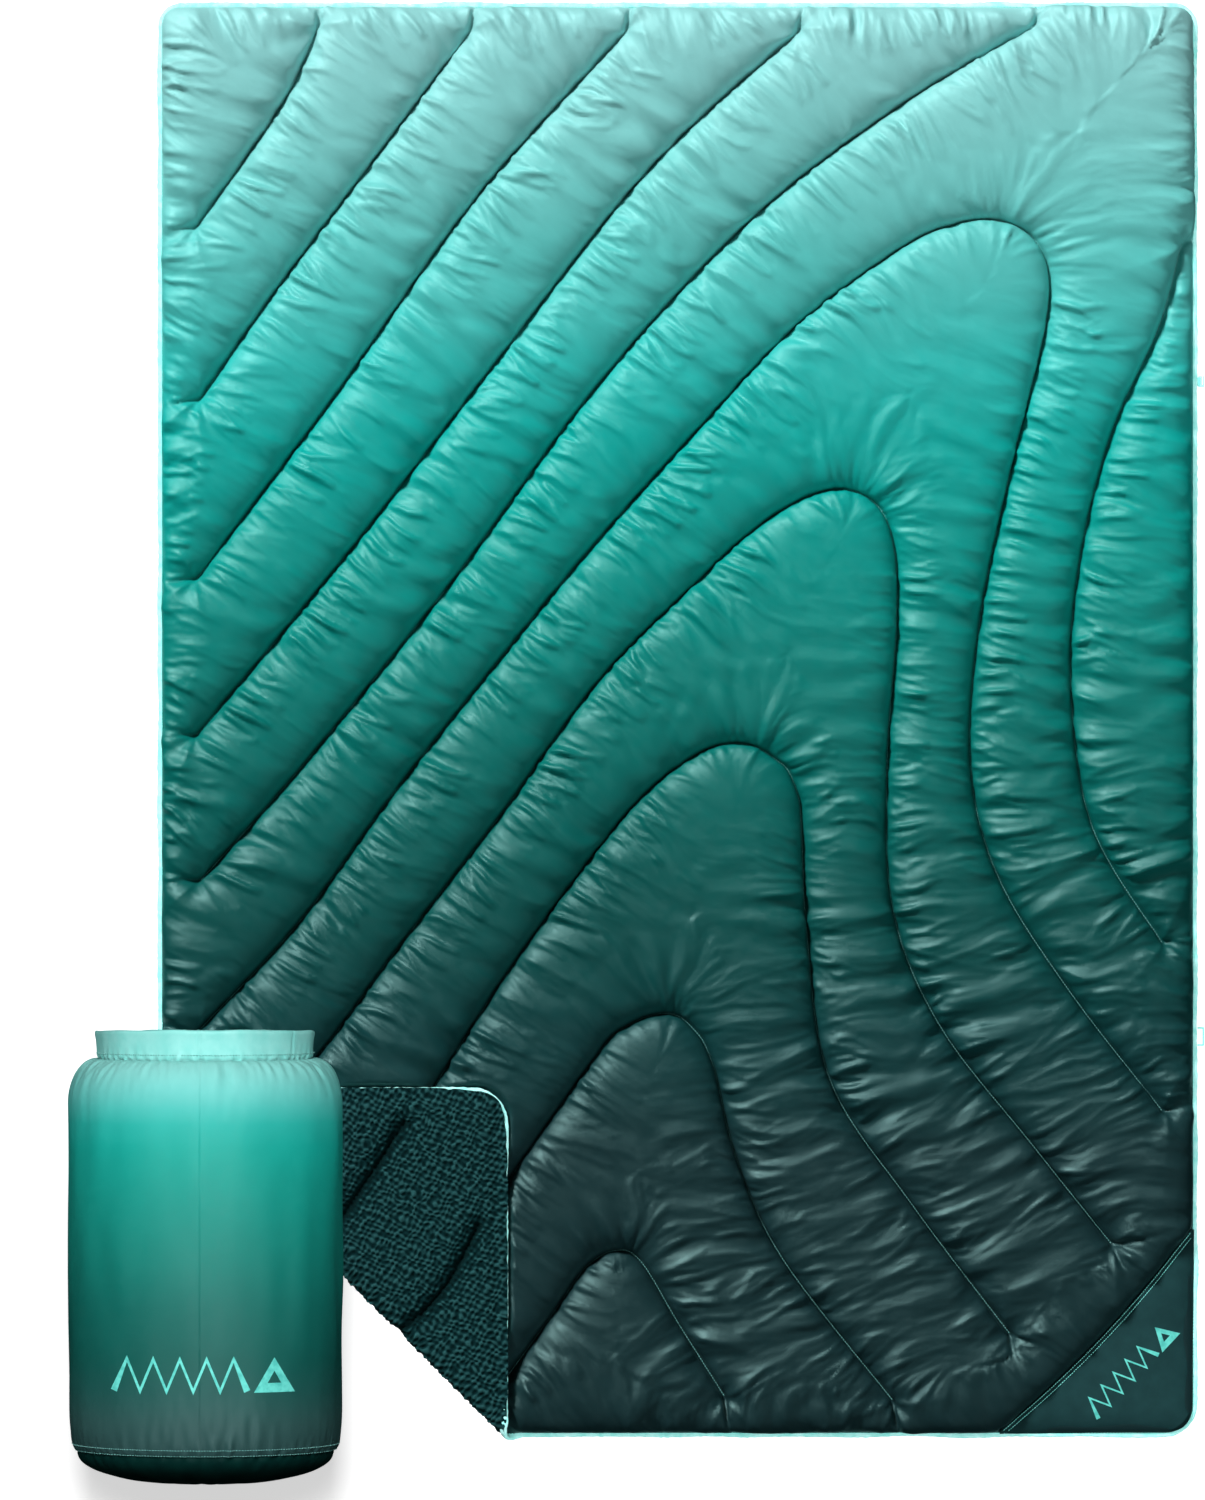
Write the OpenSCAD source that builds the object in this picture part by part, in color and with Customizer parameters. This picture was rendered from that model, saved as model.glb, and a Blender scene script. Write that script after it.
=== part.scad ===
// Quilted camp blanket, laid flat with its foot corner folded over, and its stuff sack.
// +X runs across the blanket, +Y towards its head end and +Z up. The origin is the middle of
// the underside of the blanket as cut, on the floor.

/* [Blanket] */
// Width of the blanket laid flat
blanket_w = 1330; // [1290:5:1370]
// Length of the blanket laid flat
blanket_l = 1835; // [1800:5:1870]
// Corner radius at the head end
head_corner_r = 30; // [20:1:60]
// Corner radius at the foot end
foot_corner_r = 42; // [20:1:60]

/* [Layers] */
// Thickness of the fleece backing
fleece_t = 3; // [2:0.5:4]
// Thickness of the insulation
batt_t = 14; // [12:1:16]
// Thickness of the face cloth
shell_t = 0.6; // [0.4:0.1:1]
// Width of the edge binding
binding_w = 7; // [5:0.5:10]
// Height of the edge binding
binding_h = 6; // [5:0.5:8]
// Width of the thin rim inside the binding
rim_w = 9; // [6:1:14]

/* [Quilting] */
// Width of the valley along each quilting line
valley_w = 14; // [10:1:20]
// Height of the valley's floor
valley_z = 6.5; // [5:0.5:8]
// Width of a line of stitching
stitch_w = 1.6; // [1:0.2:2.4]
// Height of a line of stitching
stitch_h = 0.8; // [0.4:0.1:1]

/* [Folded corner] */
// Distance from the corner to the fold, along each edge
fold_leg = 448; // [430:1:460]
// Air gap inside the fold
fold_gap = 0.8; // [0.6:0.1:1.2]

/* [Corner patch] */
// Length of the patch's inner edge
patch_chord = 364; // [340:1:380]
// How far the patch's inner edge bows towards the corner
patch_bow = 12; // [4:1:20]
// Thickness of the patch
patch_t = 0.6; // [0.4:0.1:1]

/* [Clip and loop] */
// Height of the clip above the middle of the edge, along Y
clip_y = 433; // [420:1:440]
// Length of the clip
clip_l = 14; // [12:0.5:16]
// Position of the loop along Y
loop_y = -405; // [-415:1:-395]
// Length of the loop
loop_l = 24; // [20:1:28]
// How far the clip and the loop stand out from the edge
stand_out = 9; // [8.5:0.5:11]
// Diameter of the loop's cord
loop_d = 2.2; // [1.8:0.1:2.6]

/* [Stuff sack] */
// Largest radius of the sack
sack_r = 174; // [170:1:178]
// Length of the sack from its base to its mouth
sack_l = 576; // [560:2:590]
// Radius of the collar round the mouth
collar_r = 137; // [130:1:142]
// Length of the collar
collar_l = 39; // [32:1:45]
// Height of the seam between the base panel and the body
base_h = 42; // [36:1:50]
// Thickness of the sack's cloth
sack_t = 1; // [0.6:0.1:1.4]
// How much of the soft sack is pressed flat where it lies on the floor
sack_sag = 8; // [5:1:12]
// Position of the sack's axis across the blanket
sack_x = -598; // [-605:1:-590]
// Position of the sack's base along the blanket
sack_y = -965; // [-975:1:-955]

/* [Hidden] */
$fn = 72;

face_green = [0.05, 0.6, 0.56];
face_dark = [0.14, 0.27, 0.28];
fleece_green = [0.1, 0.3, 0.3];
mint = [0.55, 0.93, 0.88];
thread_green = [0.3, 0.75, 0.7];
batt_white = [0.93, 0.94, 0.92];

// The layers, from the floor up
batt_z = fleece_t;
shell_z = batt_z + batt_t;
top_z = shell_z + shell_t;
fold_z = top_z + fold_gap / 2;
flap_z = 2 * fold_z;
rim_z = binding_h - shell_t;
puff_inset = binding_w + rim_w;

// The fold runs where x + y is constant. Each unfolded point swaps to its mirror image in
// mirror_sum, and the half round roll starts at axis_sum.
mirror_sum = fold_leg - blanket_w / 2 - blanket_l / 2;
roll_stretch = PI * fold_z / 2 / sqrt(2);
axis_sum = round(mirror_sum + roll_stretch);
// Stitching stops this far short of the roll
roll_clear = 8;

// Hand drawn quilting lines for a blanket of this size, each a smooth curve through its points
drawn_w = 1330;
drawn_l = 1835;
quilt_lines = [
  [[-460, 885], [-485, 825], [-520, 765], [-615, 630]],
  [[-265, 880], [-385, 720], [-520, 540], [-610, 410]],
  [[-65, 880], [-255, 670], [-445, 405], [-615, 180]],
  [[155, 880], [-35, 705], [-230, 460], [-420, 215], [-615, -20]],
  [[455, 885], [285, 785], [95, 640], [-100, 430], [-290, 175], [-485, -65], [-610, -205]],
  [[-615, -400], [-485, -260], [-360, -90], [-225, 80], [-110, 220], [30, 375], [155, 505],
   [290, 605], [345, 630], [395, 640], [440, 628], [470, 590], [472, 510], [425, 315],
   [385, 115], [375, -60], [410, -200], [500, -345], [620, -500]],
  [[-615, -595], [-465, -435], [-360, -295], [-225, -120], [-100, 50], [30, 180], [95, 240],
   [155, 280], [210, 295], [255, 275], [277, 220], [280, 120], [268, -60], [275, -240],
   [335, -390], [455, -545], [555, -670]],
  [[-620, -785], [-460, -675], [-380, -575], [-225, -335], [-100, -165], [-35, -90], [30, -42],
   [80, -30], [125, -50], [155, -100], [165, -270], [195, -460], [300, -620], [425, -785]],
  [[-490, -880], [-390, -820], [-285, -685], [-125, -460], [-75, -398], [-15, -375],
   [20, -395], [45, -440], [75, -560], [135, -690], [275, -870]],
  [[-240, -870], [-160, -760], [-115, -698], [-75, -678], [-45, -695], [0, -770], [60, -865]],
  [[645, 610], [615, 500], [555, 365], [515, 205], [503, 45], [530, -135], [620, -285]]
];

// Points along one span of a smooth curve that passes through b and c
function span(a, b, c, d, steps) = [
  for (i = [0 : steps - 1])
    let (t = i / steps)
    0.5 * (2 * b + (c - a) * t + (2 * a - 5 * b + 4 * c - d) * t * t
           + (3 * b - a - 3 * c + d) * t * t * t)
];

// A smooth curve through the points p, about one point every 30 mm
function smooth(p) = [
  for (i = [0 : len(p) - 2])
    let (a = p[max(i - 1, 0)], d = p[min(i + 2, len(p) - 1)],
         steps = max(2, round(norm(p[i + 1] - p[i]) / 30)))
    each span(a, p[i], p[i + 1], d, steps),
  p[len(p) - 1]
];

function quilt_line(i) = smooth([
  for (p = quilt_lines[i]) [p.x * blanket_w / drawn_w, p.y * blanket_l / drawn_l]
]);

// The stretch of a path that stays on the flat part of the blanket
function on_flat(path) = [for (p = path) if (p.x + p.y > axis_sum + roll_clear) p];

// The stretch of a path that the fold carries over, in its folded place
function on_flap(path) = [
  for (p = path)
    if (2 * mirror_sum - p.x - p.y > axis_sum + roll_clear) [mirror_sum - p.y, mirror_sum - p.x]
];

function unit(v) = v / norm(v);
function heading(p, i) = unit(p[min(i + 1, len(p) - 1)] - p[max(i - 1, 0)]);
function backwards(p) = [for (i = [len(p) - 1 : -1 : 0]) p[i]];

// The outline of a strip of width w along path p, running on past each end by the length cap
function strip(p, w, cap) =
  let (n = len(p) - 1,
       q = [for (i = [0 : n])
              p[i] + heading(p, i) * (i == 0 ? -cap : i == n ? cap : 0)],
       side = [for (i = [0 : n]) let (h = heading(p, i)) [-h.y, h.x] * w / 2])
  concat([for (i = [0 : n]) q[i] + side[i]],
         backwards([for (i = [0 : n]) q[i] - side[i]]));

function arc(c, r, from, to) = [
  for (i = [0 : 8]) let (a = from + (to - from) * i / 8) c + r * [cos(a), sin(a)]
];

// The flat part's outline, pulled in by inset all round except along the fold
function flat_outline(inset) =
  let (x = blanket_w / 2, y = blanket_l / 2,
       head_r = max(head_corner_r - inset, 3), foot_r = max(foot_corner_r - inset, 3))
  concat(arc([x - inset - foot_r, -y + inset + foot_r], foot_r, -90, 0),
         arc([x - inset - head_r, y - inset - head_r], head_r, 0, 90),
         arc([-x + inset + head_r, y - inset - head_r], head_r, 90, 180),
         [[-x + inset, axis_sum + x - inset], [axis_sum + y - inset, -y + inset]]);

// The folded flap's outline, pulled in by inset all round except along the fold, where it
// reaches out past the roll's axis by the length out
function flap_outline(inset, out = 0) =
  let (right = mirror_sum + blanket_l / 2 - inset, top = mirror_sum + blanket_w / 2 - inset,
       r = max(foot_corner_r - inset, 3), fold_sum = axis_sum - out * sqrt(2))
  concat([[fold_sum - top, top], [right, fold_sum - right]],
         arc([right - r, top - r], r, 0, 90));

module slab(outline, z0, z1) {
  translate([0, 0, z0]) linear_extrude(z1 - z0) polygon(outline);
}

// The flat part of a layer, from z0 to z1, and its folded part, upside down above it
module folded_layer(inset, z0, z1) {
  slab(flat_outline(inset), z0, z1);
  slab(flap_outline(inset), flap_z - z1, flap_z - z0);
}

// Half the roll's length, between the places where the edge crosses it
roll_half = (blanket_w + blanket_l + 2 * mirror_sum) / 2 / sqrt(2) - roll_stretch / sqrt(2) * 2;

// Children drawn along +Z are laid along the fold, with +Y pointing out of it
module at_fold() {
  middle = (blanket_l - blanket_w) / 4;
  translate([axis_sum / 2 + middle, axis_sum / 2 - middle, fold_z])
    rotate([0, -90, 135]) children();
}

// The half round part of a layer, between the radii r0 and r1
module roll(r0, r1, half) {
  at_fold()
    rotate_extrude(angle = 180)
      translate([r0, -half]) square([r1 - r0, 2 * half]);
}

module valleys(w, cap, z0) {
  for (i = [0 : len(quilt_lines) - 1])
    slab(strip(on_flat(quilt_line(i)), w, cap), z0, top_z + 1);
}

module fleece_backing() {
  color(fleece_green)
    difference() {
      union() {
        folded_layer(binding_w, 0, fleece_t);
        roll(fold_z - fleece_t, fold_z, roll_half - binding_w);
      }
      for (i = [6 : 8])
        slab(strip(on_flap(quilt_line(i)), valley_w, stitch_w), flap_z - 2 * stitch_h, flap_z + 1);
    }
}

module insulation_batt() {
  color(batt_white)
    difference() {
      union() {
        folded_layer(puff_inset + shell_t, batt_z, shell_z);
        folded_layer(binding_w, batt_z, rim_z);
        roll(fold_gap / 2 + shell_t, fold_z - fleece_t, roll_half - puff_inset);
      }
      valleys(valley_w, valley_w / 2, valley_z);
    }
}

// The face cloth drops into each valley, so that it stays one sheet
module valley_linings() {
  difference() {
    valleys(valley_w, valley_w / 2, valley_z);
    valleys(valley_w - 2 * shell_t, valley_w / 2 - shell_t, valley_z + shell_t);
    translate([0, 0, top_z]) linear_extrude(2) square([2 * blanket_w, 2 * blanket_l], true);
  }
}

module face_shell() {
  color(face_green) {
    difference() {
      union() {
        difference() {
          folded_layer(puff_inset, rim_z, top_z);
          folded_layer(puff_inset + shell_t, rim_z - 1, shell_z);
        }
        difference() {
          folded_layer(binding_w, rim_z, binding_h);
          folded_layer(puff_inset + shell_t, rim_z - 1, binding_h + 1);
        }
        roll(fold_gap / 2, fold_gap / 2 + shell_t, roll_half - puff_inset);
      }
      valleys(valley_w - 2 * shell_t, valley_w / 2 - shell_t, shell_z - 1);
    }
    valley_linings();
  }
}

module edge_binding() {
  color(mint) {
    difference() {
      folded_layer(0, 0, binding_h);
      folded_layer(binding_w, -1, binding_h + 1);
    }
    for (side = [-1, 1])
      at_fold()
        rotate_extrude(angle = 180)
          translate([fold_z - binding_h, side * (roll_half - binding_w / 2) - binding_w / 2])
            square([binding_h, binding_w]);
  }
}

// One line of stitches runs along the inner edge of the binding, on its upper face
module binding_stitch() {
  near = binding_w - 2;
  color(thread_green) {
    difference() {
      slab(flat_outline(near - stitch_w), binding_h, binding_h + stitch_h / 2);
      slab(flat_outline(near), binding_h - 1, binding_h + 1);
    }
    difference() {
      slab(flap_outline(near - stitch_w), flap_z, flap_z + stitch_h / 2);
      slab(flap_outline(near), flap_z - 1, flap_z + 1);
    }
  }
}

// A quilting line's stitches lie on its valley's floor, and on top of the folded flap
module quilt_stitch(i) {
  flat = on_flat(quilt_line(i));
  flap = on_flap(quilt_line(i));
  floor_z = valley_z + shell_t;
  color(thread_green) {
    slab(strip(flat, stitch_w, 0), floor_z, floor_z + stitch_h);
    if (len(flap) > 2)
      slab(strip(flap, stitch_w, 0), flap_z - 2 * stitch_h, flap_z - stitch_h);
  }
}

// The patch's inner edge is an arc that starts and ends near the two sides of the blanket
patch_middle = [blanket_w / 2 - 130, -blanket_l / 2 + 140];
patch_edge_r = (pow(patch_chord / 2, 2) + pow(patch_bow, 2)) / (2 * patch_bow);
patch_turn = 46.7;
patch_edge_c = patch_middle + (patch_edge_r - patch_bow) * [-sin(patch_turn), cos(patch_turn)];

module patch_disc(r, z0, z1) {
  translate([patch_edge_c.x, patch_edge_c.y, z0]) cylinder(r = r, h = z1 - z0, $fn = 256);
}

module corner_patch() {
  color(face_dark)
    difference() {
      intersection() {
        slab(flat_outline(puff_inset), top_z, top_z + patch_t);
        translate([blanket_w / 2 - 300, -blanket_l / 2, top_z]) cube([300, 320, 2]);
      }
      patch_disc(patch_edge_r, top_z - 1, top_z + 2);
    }
}

module patch_stitch() {
  color(mint)
    intersection() {
      translate([blanket_w / 2 - 300, -blanket_l / 2, top_z]) cube([300, 320, 9]);
      slab(flat_outline(puff_inset + 2), top_z + patch_t, top_z + patch_t + stitch_h);
      union() {
        for (step = [2, 8])
          difference() {
            patch_disc(patch_edge_r + step + stitch_w, top_z, top_z + 9);
            patch_disc(patch_edge_r + step, top_z - 1, top_z + 10);
          }
      }
    }
}

// A plain zigzag of five peaks and the outline of a small tent
function zigzag(l, h, peaks) = [
  for (i = [0 : 2 * peaks]) [l * (i / (2 * peaks) - 0.5), h * (i % 2 - 0.5)]
];
function tent(w, h) = [[-w / 2, -h / 2], [0, h / 2], [w / 2, -h / 2], [-w / 2, -h / 2]];

module mark_outline(size) {
  stroke = 0.05 * size;
  polygon(strip(zigzag(size, 0.24 * size, 5), stroke, 0));
  translate([0.7 * size, 0])
    difference() {
      polygon(tent(0.3 * size, 0.26 * size));
      translate([0, -0.3 * stroke])
        polygon(tent(0.3 * size - 4 * stroke, 0.26 * size - 3.4 * stroke));
    }
}

module patch_mark() {
  mark_l = 112;
  color(mint)
    translate([patch_middle.x + 32, patch_middle.y - 66, top_z + patch_t])
      rotate(patch_turn) linear_extrude(stitch_h / 2) mark_outline(mark_l);
}

// Both the clip and the loop turn about axes that lie just outside the binding
pivot_z = binding_h / 2;
edge_x = blanket_w / 2;
clip_bar_r = 1;
clip_bar_x = edge_x + 2.4;
clip_bore_r = clip_bar_r + 0.05;
clip_arm = 1.2;

module along_y(r, y0, y1) {
  translate([0, y0, 0]) rotate([-90, 0, 0]) cylinder(r = r, h = y1 - y0);
}

module clip_tab() {
  half = clip_l / 2 - clip_arm - 0.4;
  tab_r = 2;
  color(mint)
    translate([0, clip_y, 0])
      difference() {
        union() {
          translate([clip_bar_x, 0, pivot_z]) along_y(tab_r, -half, half);
          translate([edge_x, -half, pivot_z - tab_r]) cube([clip_bar_x - edge_x, 2 * half, 2 * tab_r]);
        }
        translate([clip_bar_x, 0, pivot_z]) along_y(clip_bore_r, -clip_l, clip_l);
      }
}

module cape_clip() {
  body_x = clip_bar_x + 2.4;
  body_w = edge_x + stand_out - body_x;
  half = clip_l / 2;
  body_h = 3;
  slit = 1.4;
  color([0.6, 0.88, 0.9])
    translate([0, clip_y, pivot_z]) {
      translate([clip_bar_x, 0, 0]) along_y(clip_bar_r, -half, half);
      for (side = [-1, 1])
        translate([clip_bar_x, side * (half - clip_arm / 2) - clip_arm / 2, -clip_bar_r])
          cube([body_x - clip_bar_x, clip_arm, 2 * clip_bar_r]);
      difference() {
        translate([body_x, -half, -body_h / 2]) cube([body_w, clip_l, body_h]);
        translate([body_x + 1.4, -half + 3, -body_h]) cube([slit, clip_l, 2 * body_h]);
      }
    }
}

loop_axis_x = edge_x + 0.3 + loop_d / 2;

module edge_loop() {
  r = loop_d / 2;
  leg_y = loop_l / 2 - r;
  bar_x = edge_x + stand_out - r;
  color(mint)
    translate([0, loop_y, pivot_z]) {
      for (side = [-1, 1]) {
        translate([loop_axis_x, 0, 0]) along_y(r, side * leg_y - r, side * leg_y + r);
        translate([loop_axis_x, side * leg_y, 0])
          rotate([0, 90, 0]) cylinder(r = r, h = bar_x - loop_axis_x);
        translate([bar_x, side * leg_y, 0]) sphere(r);
      }
      translate([bar_x, 0, 0]) along_y(r, -leg_y, leg_y);
    }
}

// The sack's own axis is +Z from the middle of its base, and its marked side faces -Y
body_top = sack_l - collar_l;
base_r = sack_r - 4;
shoulder_h = 58;
swell_h = 34;
base_power = 2.6;

base_side = [
  for (i = [0 : 10])
    let (a = 9 * i)
    [base_r * pow(sin(a), 2 / base_power), base_h * (1 - pow(cos(a), 2 / base_power))]
];
swell_side = [
  for (i = [0 : 5]) let (a = 18 * i) [base_r + 4 * sin(a), base_h + swell_h * (1 - cos(a))]
];
shoulder_side = [
  for (i = [0 : 8])
    let (a = 11.25 * i)
    [collar_r + (sack_r - collar_r) * cos(a), body_top - shoulder_h + shoulder_h * sin(a)]
];
body_side = concat(swell_side, shoulder_side);
whole_side = concat(base_side, body_side);

sack_z = sack_r - sack_sag;
rest_gap = 0.4;

module sack_frame() {
  translate([sack_x, sack_y, sack_z]) rotate([-90, 0, 0]) children();
}

// What the sack lies on, the floor and the folded blanket, all swollen by gap
module rest_volume(gap) {
  floor_depth = 100;
  translate([0, -blanket_l / 2, gap - rest_gap - floor_depth / 2])
    cube([4 * blanket_w, blanket_l, floor_depth], true);
  slab(flat_outline(-gap), -1, top_z + gap);
  slab(flap_outline(-gap, fold_z + gap), -2, flap_z + stitch_h / 2 + gap);
}

// The soft sack pulled in by inset all round, dented by what it lies on
module dented_sack(inset) {
  side = [for (p = whole_side) [max(p.x - inset, 0), max(p.y, inset)]];
  difference() {
    sack_frame() rotate_extrude() polygon(concat(side, [[0, body_top]]));
    rest_volume(rest_gap + inset);
  }
}

module sack_skin() {
  difference() {
    dented_sack(0);
    dented_sack(sack_t);
  }
}

module ring(r, z, w, h) {
  rotate_extrude() translate([r, z]) square([w, h]);
}

// The stretch of the sack's own axis from z0 to z1
module sack_slice(z0, z1) {
  sack_frame() translate([0, 0, z0]) cylinder(r = 2 * sack_r, h = z1 - z0);
}

module sack_body() {
  color(face_green)
    intersection() {
      sack_skin();
      sack_slice(base_h, body_top);
    }
}

module sack_base() {
  color(face_dark)
    intersection() {
      sack_skin();
      sack_slice(-1, base_h);
    }
}

module sack_collar() {
  color(mint * 0.85) sack_frame() ring(collar_r - 2 * sack_t, body_top, 2 * sack_t, collar_l);
}

module sack_dust_flap() {
  color(face_green)
    sack_frame() translate([0, 0, sack_l - 12]) cylinder(r = collar_r - 2 * sack_t, h = sack_t);
}

module sack_filling() {
  color(batt_white) {
    dented_sack(1.5 * sack_t);
    sack_frame() translate([0, 0, body_top])
      cylinder(r = collar_r - 2.5 * sack_t, h = collar_l - 12);
  }
}

module sack_side_seam() {
  seam_w = 8;
  seam_h = 1.2;
  color(face_green * 0.8)
    sack_frame()
      rotate(165)
        intersection() {
          ring(sack_r, base_h + swell_h, seam_h, body_top - shoulder_h - base_h - swell_h);
          translate([0, -seam_w / 2, 0]) cube([2 * sack_r, seam_w, sack_l]);
        }
}

module sack_base_stitch() {
  color(thread_green)
    difference() {
      sack_frame() {
        ring(base_r + 1.5, base_h + 0.2, stitch_h, stitch_w);
        ring(base_r + 3, base_h + 8, stitch_h, stitch_w);
      }
      rest_volume(rest_gap);
    }
}

module sack_collar_stitch() {
  color(thread_green)
    sack_frame() {
      ring(collar_r, body_top + 5, stitch_h, stitch_w);
      for (turn = [-88, -27])
        rotate(turn)
          intersection() {
            ring(collar_r, body_top + 9, stitch_h, collar_l - 12);
            translate([0, -stitch_w / 2, 0]) cube([2 * sack_r, stitch_w, sack_l]);
          }
    }
}

module sack_mark() {
  mark_l = 168;
  mark_z = 145;
  color(mint)
    sack_frame()
      intersection() {
        ring(sack_r, mark_z - mark_l, stitch_h / 2, 2 * mark_l);
        translate([-26, -sack_r / 2, mark_z])
          rotate([90, 0, 0]) linear_extrude(sack_r) mark_outline(mark_l);
      }
}

fleece_backing();
insulation_batt();
face_shell();
edge_binding();
binding_stitch();
quilt_stitch(0);  // quilt_stitch_1
quilt_stitch(1);  // quilt_stitch_2
quilt_stitch(2);  // quilt_stitch_3
quilt_stitch(3);  // quilt_stitch_4
quilt_stitch(4);  // quilt_stitch_5
quilt_stitch(5);  // quilt_stitch_6
quilt_stitch(6);  // quilt_stitch_7
quilt_stitch(7);  // quilt_stitch_8
quilt_stitch(8);  // quilt_stitch_9
quilt_stitch(9);  // quilt_stitch_10
quilt_stitch(10);  // quilt_stitch_11
corner_patch();
patch_stitch();
patch_mark();
clip_tab();
cape_clip();
edge_loop();
sack_body();
sack_base();
sack_collar();
sack_dust_flap();
sack_filling();
sack_side_seam();
sack_base_stitch();
sack_collar_stitch();
sack_mark();
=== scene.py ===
"""Quilted camp blanket with its foot corner folded over, and its stuff sack: the looks.

Everything is in metres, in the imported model's frame. The blanket's cloths are made flat, as
they were cut, and folded() then carries their foot corner over the fold."""

import math

import bpy
import numpy as np
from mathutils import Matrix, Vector


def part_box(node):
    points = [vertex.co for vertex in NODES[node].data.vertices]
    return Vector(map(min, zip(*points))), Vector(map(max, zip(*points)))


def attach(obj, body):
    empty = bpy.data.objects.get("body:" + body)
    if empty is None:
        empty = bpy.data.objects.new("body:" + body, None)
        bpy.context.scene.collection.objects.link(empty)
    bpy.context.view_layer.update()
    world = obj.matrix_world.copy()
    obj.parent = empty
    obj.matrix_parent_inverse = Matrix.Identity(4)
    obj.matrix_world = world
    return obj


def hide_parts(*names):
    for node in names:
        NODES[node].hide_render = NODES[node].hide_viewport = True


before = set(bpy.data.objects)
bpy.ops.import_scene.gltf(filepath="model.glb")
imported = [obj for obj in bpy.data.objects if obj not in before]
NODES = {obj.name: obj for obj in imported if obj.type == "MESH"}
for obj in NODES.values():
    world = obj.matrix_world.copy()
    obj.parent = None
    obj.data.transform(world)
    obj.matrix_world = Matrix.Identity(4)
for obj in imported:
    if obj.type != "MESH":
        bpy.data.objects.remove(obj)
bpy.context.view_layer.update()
ROOT2 = math.sqrt(2)


# ---------------------------------------------------------------- places from the frame

def corners(node):
    low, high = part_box(node)
    return np.array(low), np.array(high)


def vertices(node):
    return np.array([v.co for v in NODES[node].data.vertices])


HALF_W, HALF_L = corners("edge_binding")[1][:2]
FLAP_Z = corners("fleece_backing")[1][2]
FOLD_Z = FLAP_Z / 2
BEND_R = FOLD_Z / 2
FACE_TOP = corners("corner_patch")[0][2]
FLAP_TAPE = vertices("edge_binding")[vertices("edge_binding")[:, 2] > 0.8 * FLAP_Z]
FLAP_RIGHT, FLAP_TOP = FLAP_TAPE[:, 0].max(), FLAP_TAPE[:, 1].max()
MIRROR_SUM = FLAP_RIGHT - HALF_L
FOLD_SUM = MIRROR_SUM + math.pi * BEND_R / ROOT2

SACK_LOW, SACK_HIGH = corners("sack_body")
SACK_X = (SACK_LOW[0] + SACK_HIGH[0]) / 2
SACK_R = (SACK_HIGH[0] - SACK_LOW[0]) / 2
SACK_Z = SACK_HIGH[2] - SACK_R
SACK_Y = corners("sack_base")[0][1]
BASE_H = corners("sack_base")[1][1] - SACK_Y
BODY_TOP = SACK_HIGH[1] - SACK_Y
COLLAR_LOW, COLLAR_HIGH = corners("sack_collar")
COLLAR_R = (COLLAR_HIGH[0] - COLLAR_LOW[0]) / 2
SACK_L = COLLAR_HIGH[1] - SACK_Y

HEAD_CORNER_R = 0.030
FOOT_CORNER_R = 0.042
BINDING_W = 0.007
BINDING_H = 0.006
RIM_Z = 0.0050
SEAM_Z = 0.0070
ARC_Z = 0.0130
PUFF_Z = 0.036


def folded(place):
    """Where points of the flat blanket lie once its foot corner is folded over"""
    past_fold = (FOLD_SUM - place[..., 0] - place[..., 1]) / ROOT2
    radius = FOLD_Z - place[..., 2]
    turn = np.clip(past_fold / BEND_R, 0, math.pi)
    beyond = np.maximum(past_fold - math.pi * BEND_R, 0)
    shift = (np.maximum(past_fold, 0) + beyond - radius * np.sin(turn)) / ROOT2
    out = np.empty_like(place)
    out[..., 0] = place[..., 0] + shift
    out[..., 1] = place[..., 1] + shift
    out[..., 2] = FOLD_Z - radius * np.cos(turn)
    return out


def step_up(x, low, high):
    t = np.clip((x - low) / (high - low), 0, 1)
    return t * t * (3 - 2 * t)


# ---------------------------------------------------------------- paths

def smooth(points, step):
    """A smooth curve through the points, with a point about every step"""
    p = np.vstack([points[:1], points, points[-1:]])
    t = np.linspace(0, 1, 16, endpoint=False)[:, None]
    spans = [0.5 * (2 * b + (c - a) * t + (2 * a - 5 * b + 4 * c - d) * t ** 2
                    + (3 * b - a - 3 * c + d) * t ** 3)
             for a, b, c, d in zip(p, p[1:], p[2:], p[3:])]
    return evenly(np.vstack(spans + [points[-1:]]), step)


def evenly(path, step):
    run = np.r_[0, np.cumsum(np.linalg.norm(np.diff(path, axis=0), axis=1))]
    places = np.linspace(0, run[-1], max(2, int(run[-1] / step) + 1))
    return np.stack([np.interp(places, run, column) for column in path.T], 1)


def top_rings(node):
    """The outline of each group of a node's upward faces, as a ring of corner points"""
    mesh = NODES[node].data
    spots, index = np.unique(np.round(vertices(node), 6), axis=0, return_inverse=True)
    follow = {}
    for face in mesh.polygons:
        if face.normal.z > 0.9:
            ring = [int(index[v]) for v in face.vertices]
            for a, b in zip(ring, ring[1:] + ring[:1]):
                if a in follow.get(b, ()):
                    follow[b].remove(a)
                elif a != b:
                    follow.setdefault(a, []).append(b)
    follow = {a: after[0] for a, after in follow.items() if after}
    rings = []
    while follow:
        at = next(iter(follow))
        ring = []
        while at in follow:
            ring.append(at)
            at = follow.pop(at)
        rings.append(spots[ring])
    return rings


def centre_line(ring):
    """The path along the middle of a narrow strip, whose two short ends are its shortest edges"""
    gaps = np.linalg.norm(np.roll(ring, -1, axis=0) - ring, axis=1)
    first, second = sorted(np.argsort(gaps)[:2])
    left = ring[first + 1:second + 1]
    right = np.vstack([ring[second + 1:], ring[:first + 1]])[::-1]
    if len(left) != len(right):
        left, right = evenly(left, 0.03), evenly(right, 0.03)
        count = min(len(left), len(right))
        left, right = left[:count], right[:count]
    return (left + right) / 2


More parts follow.
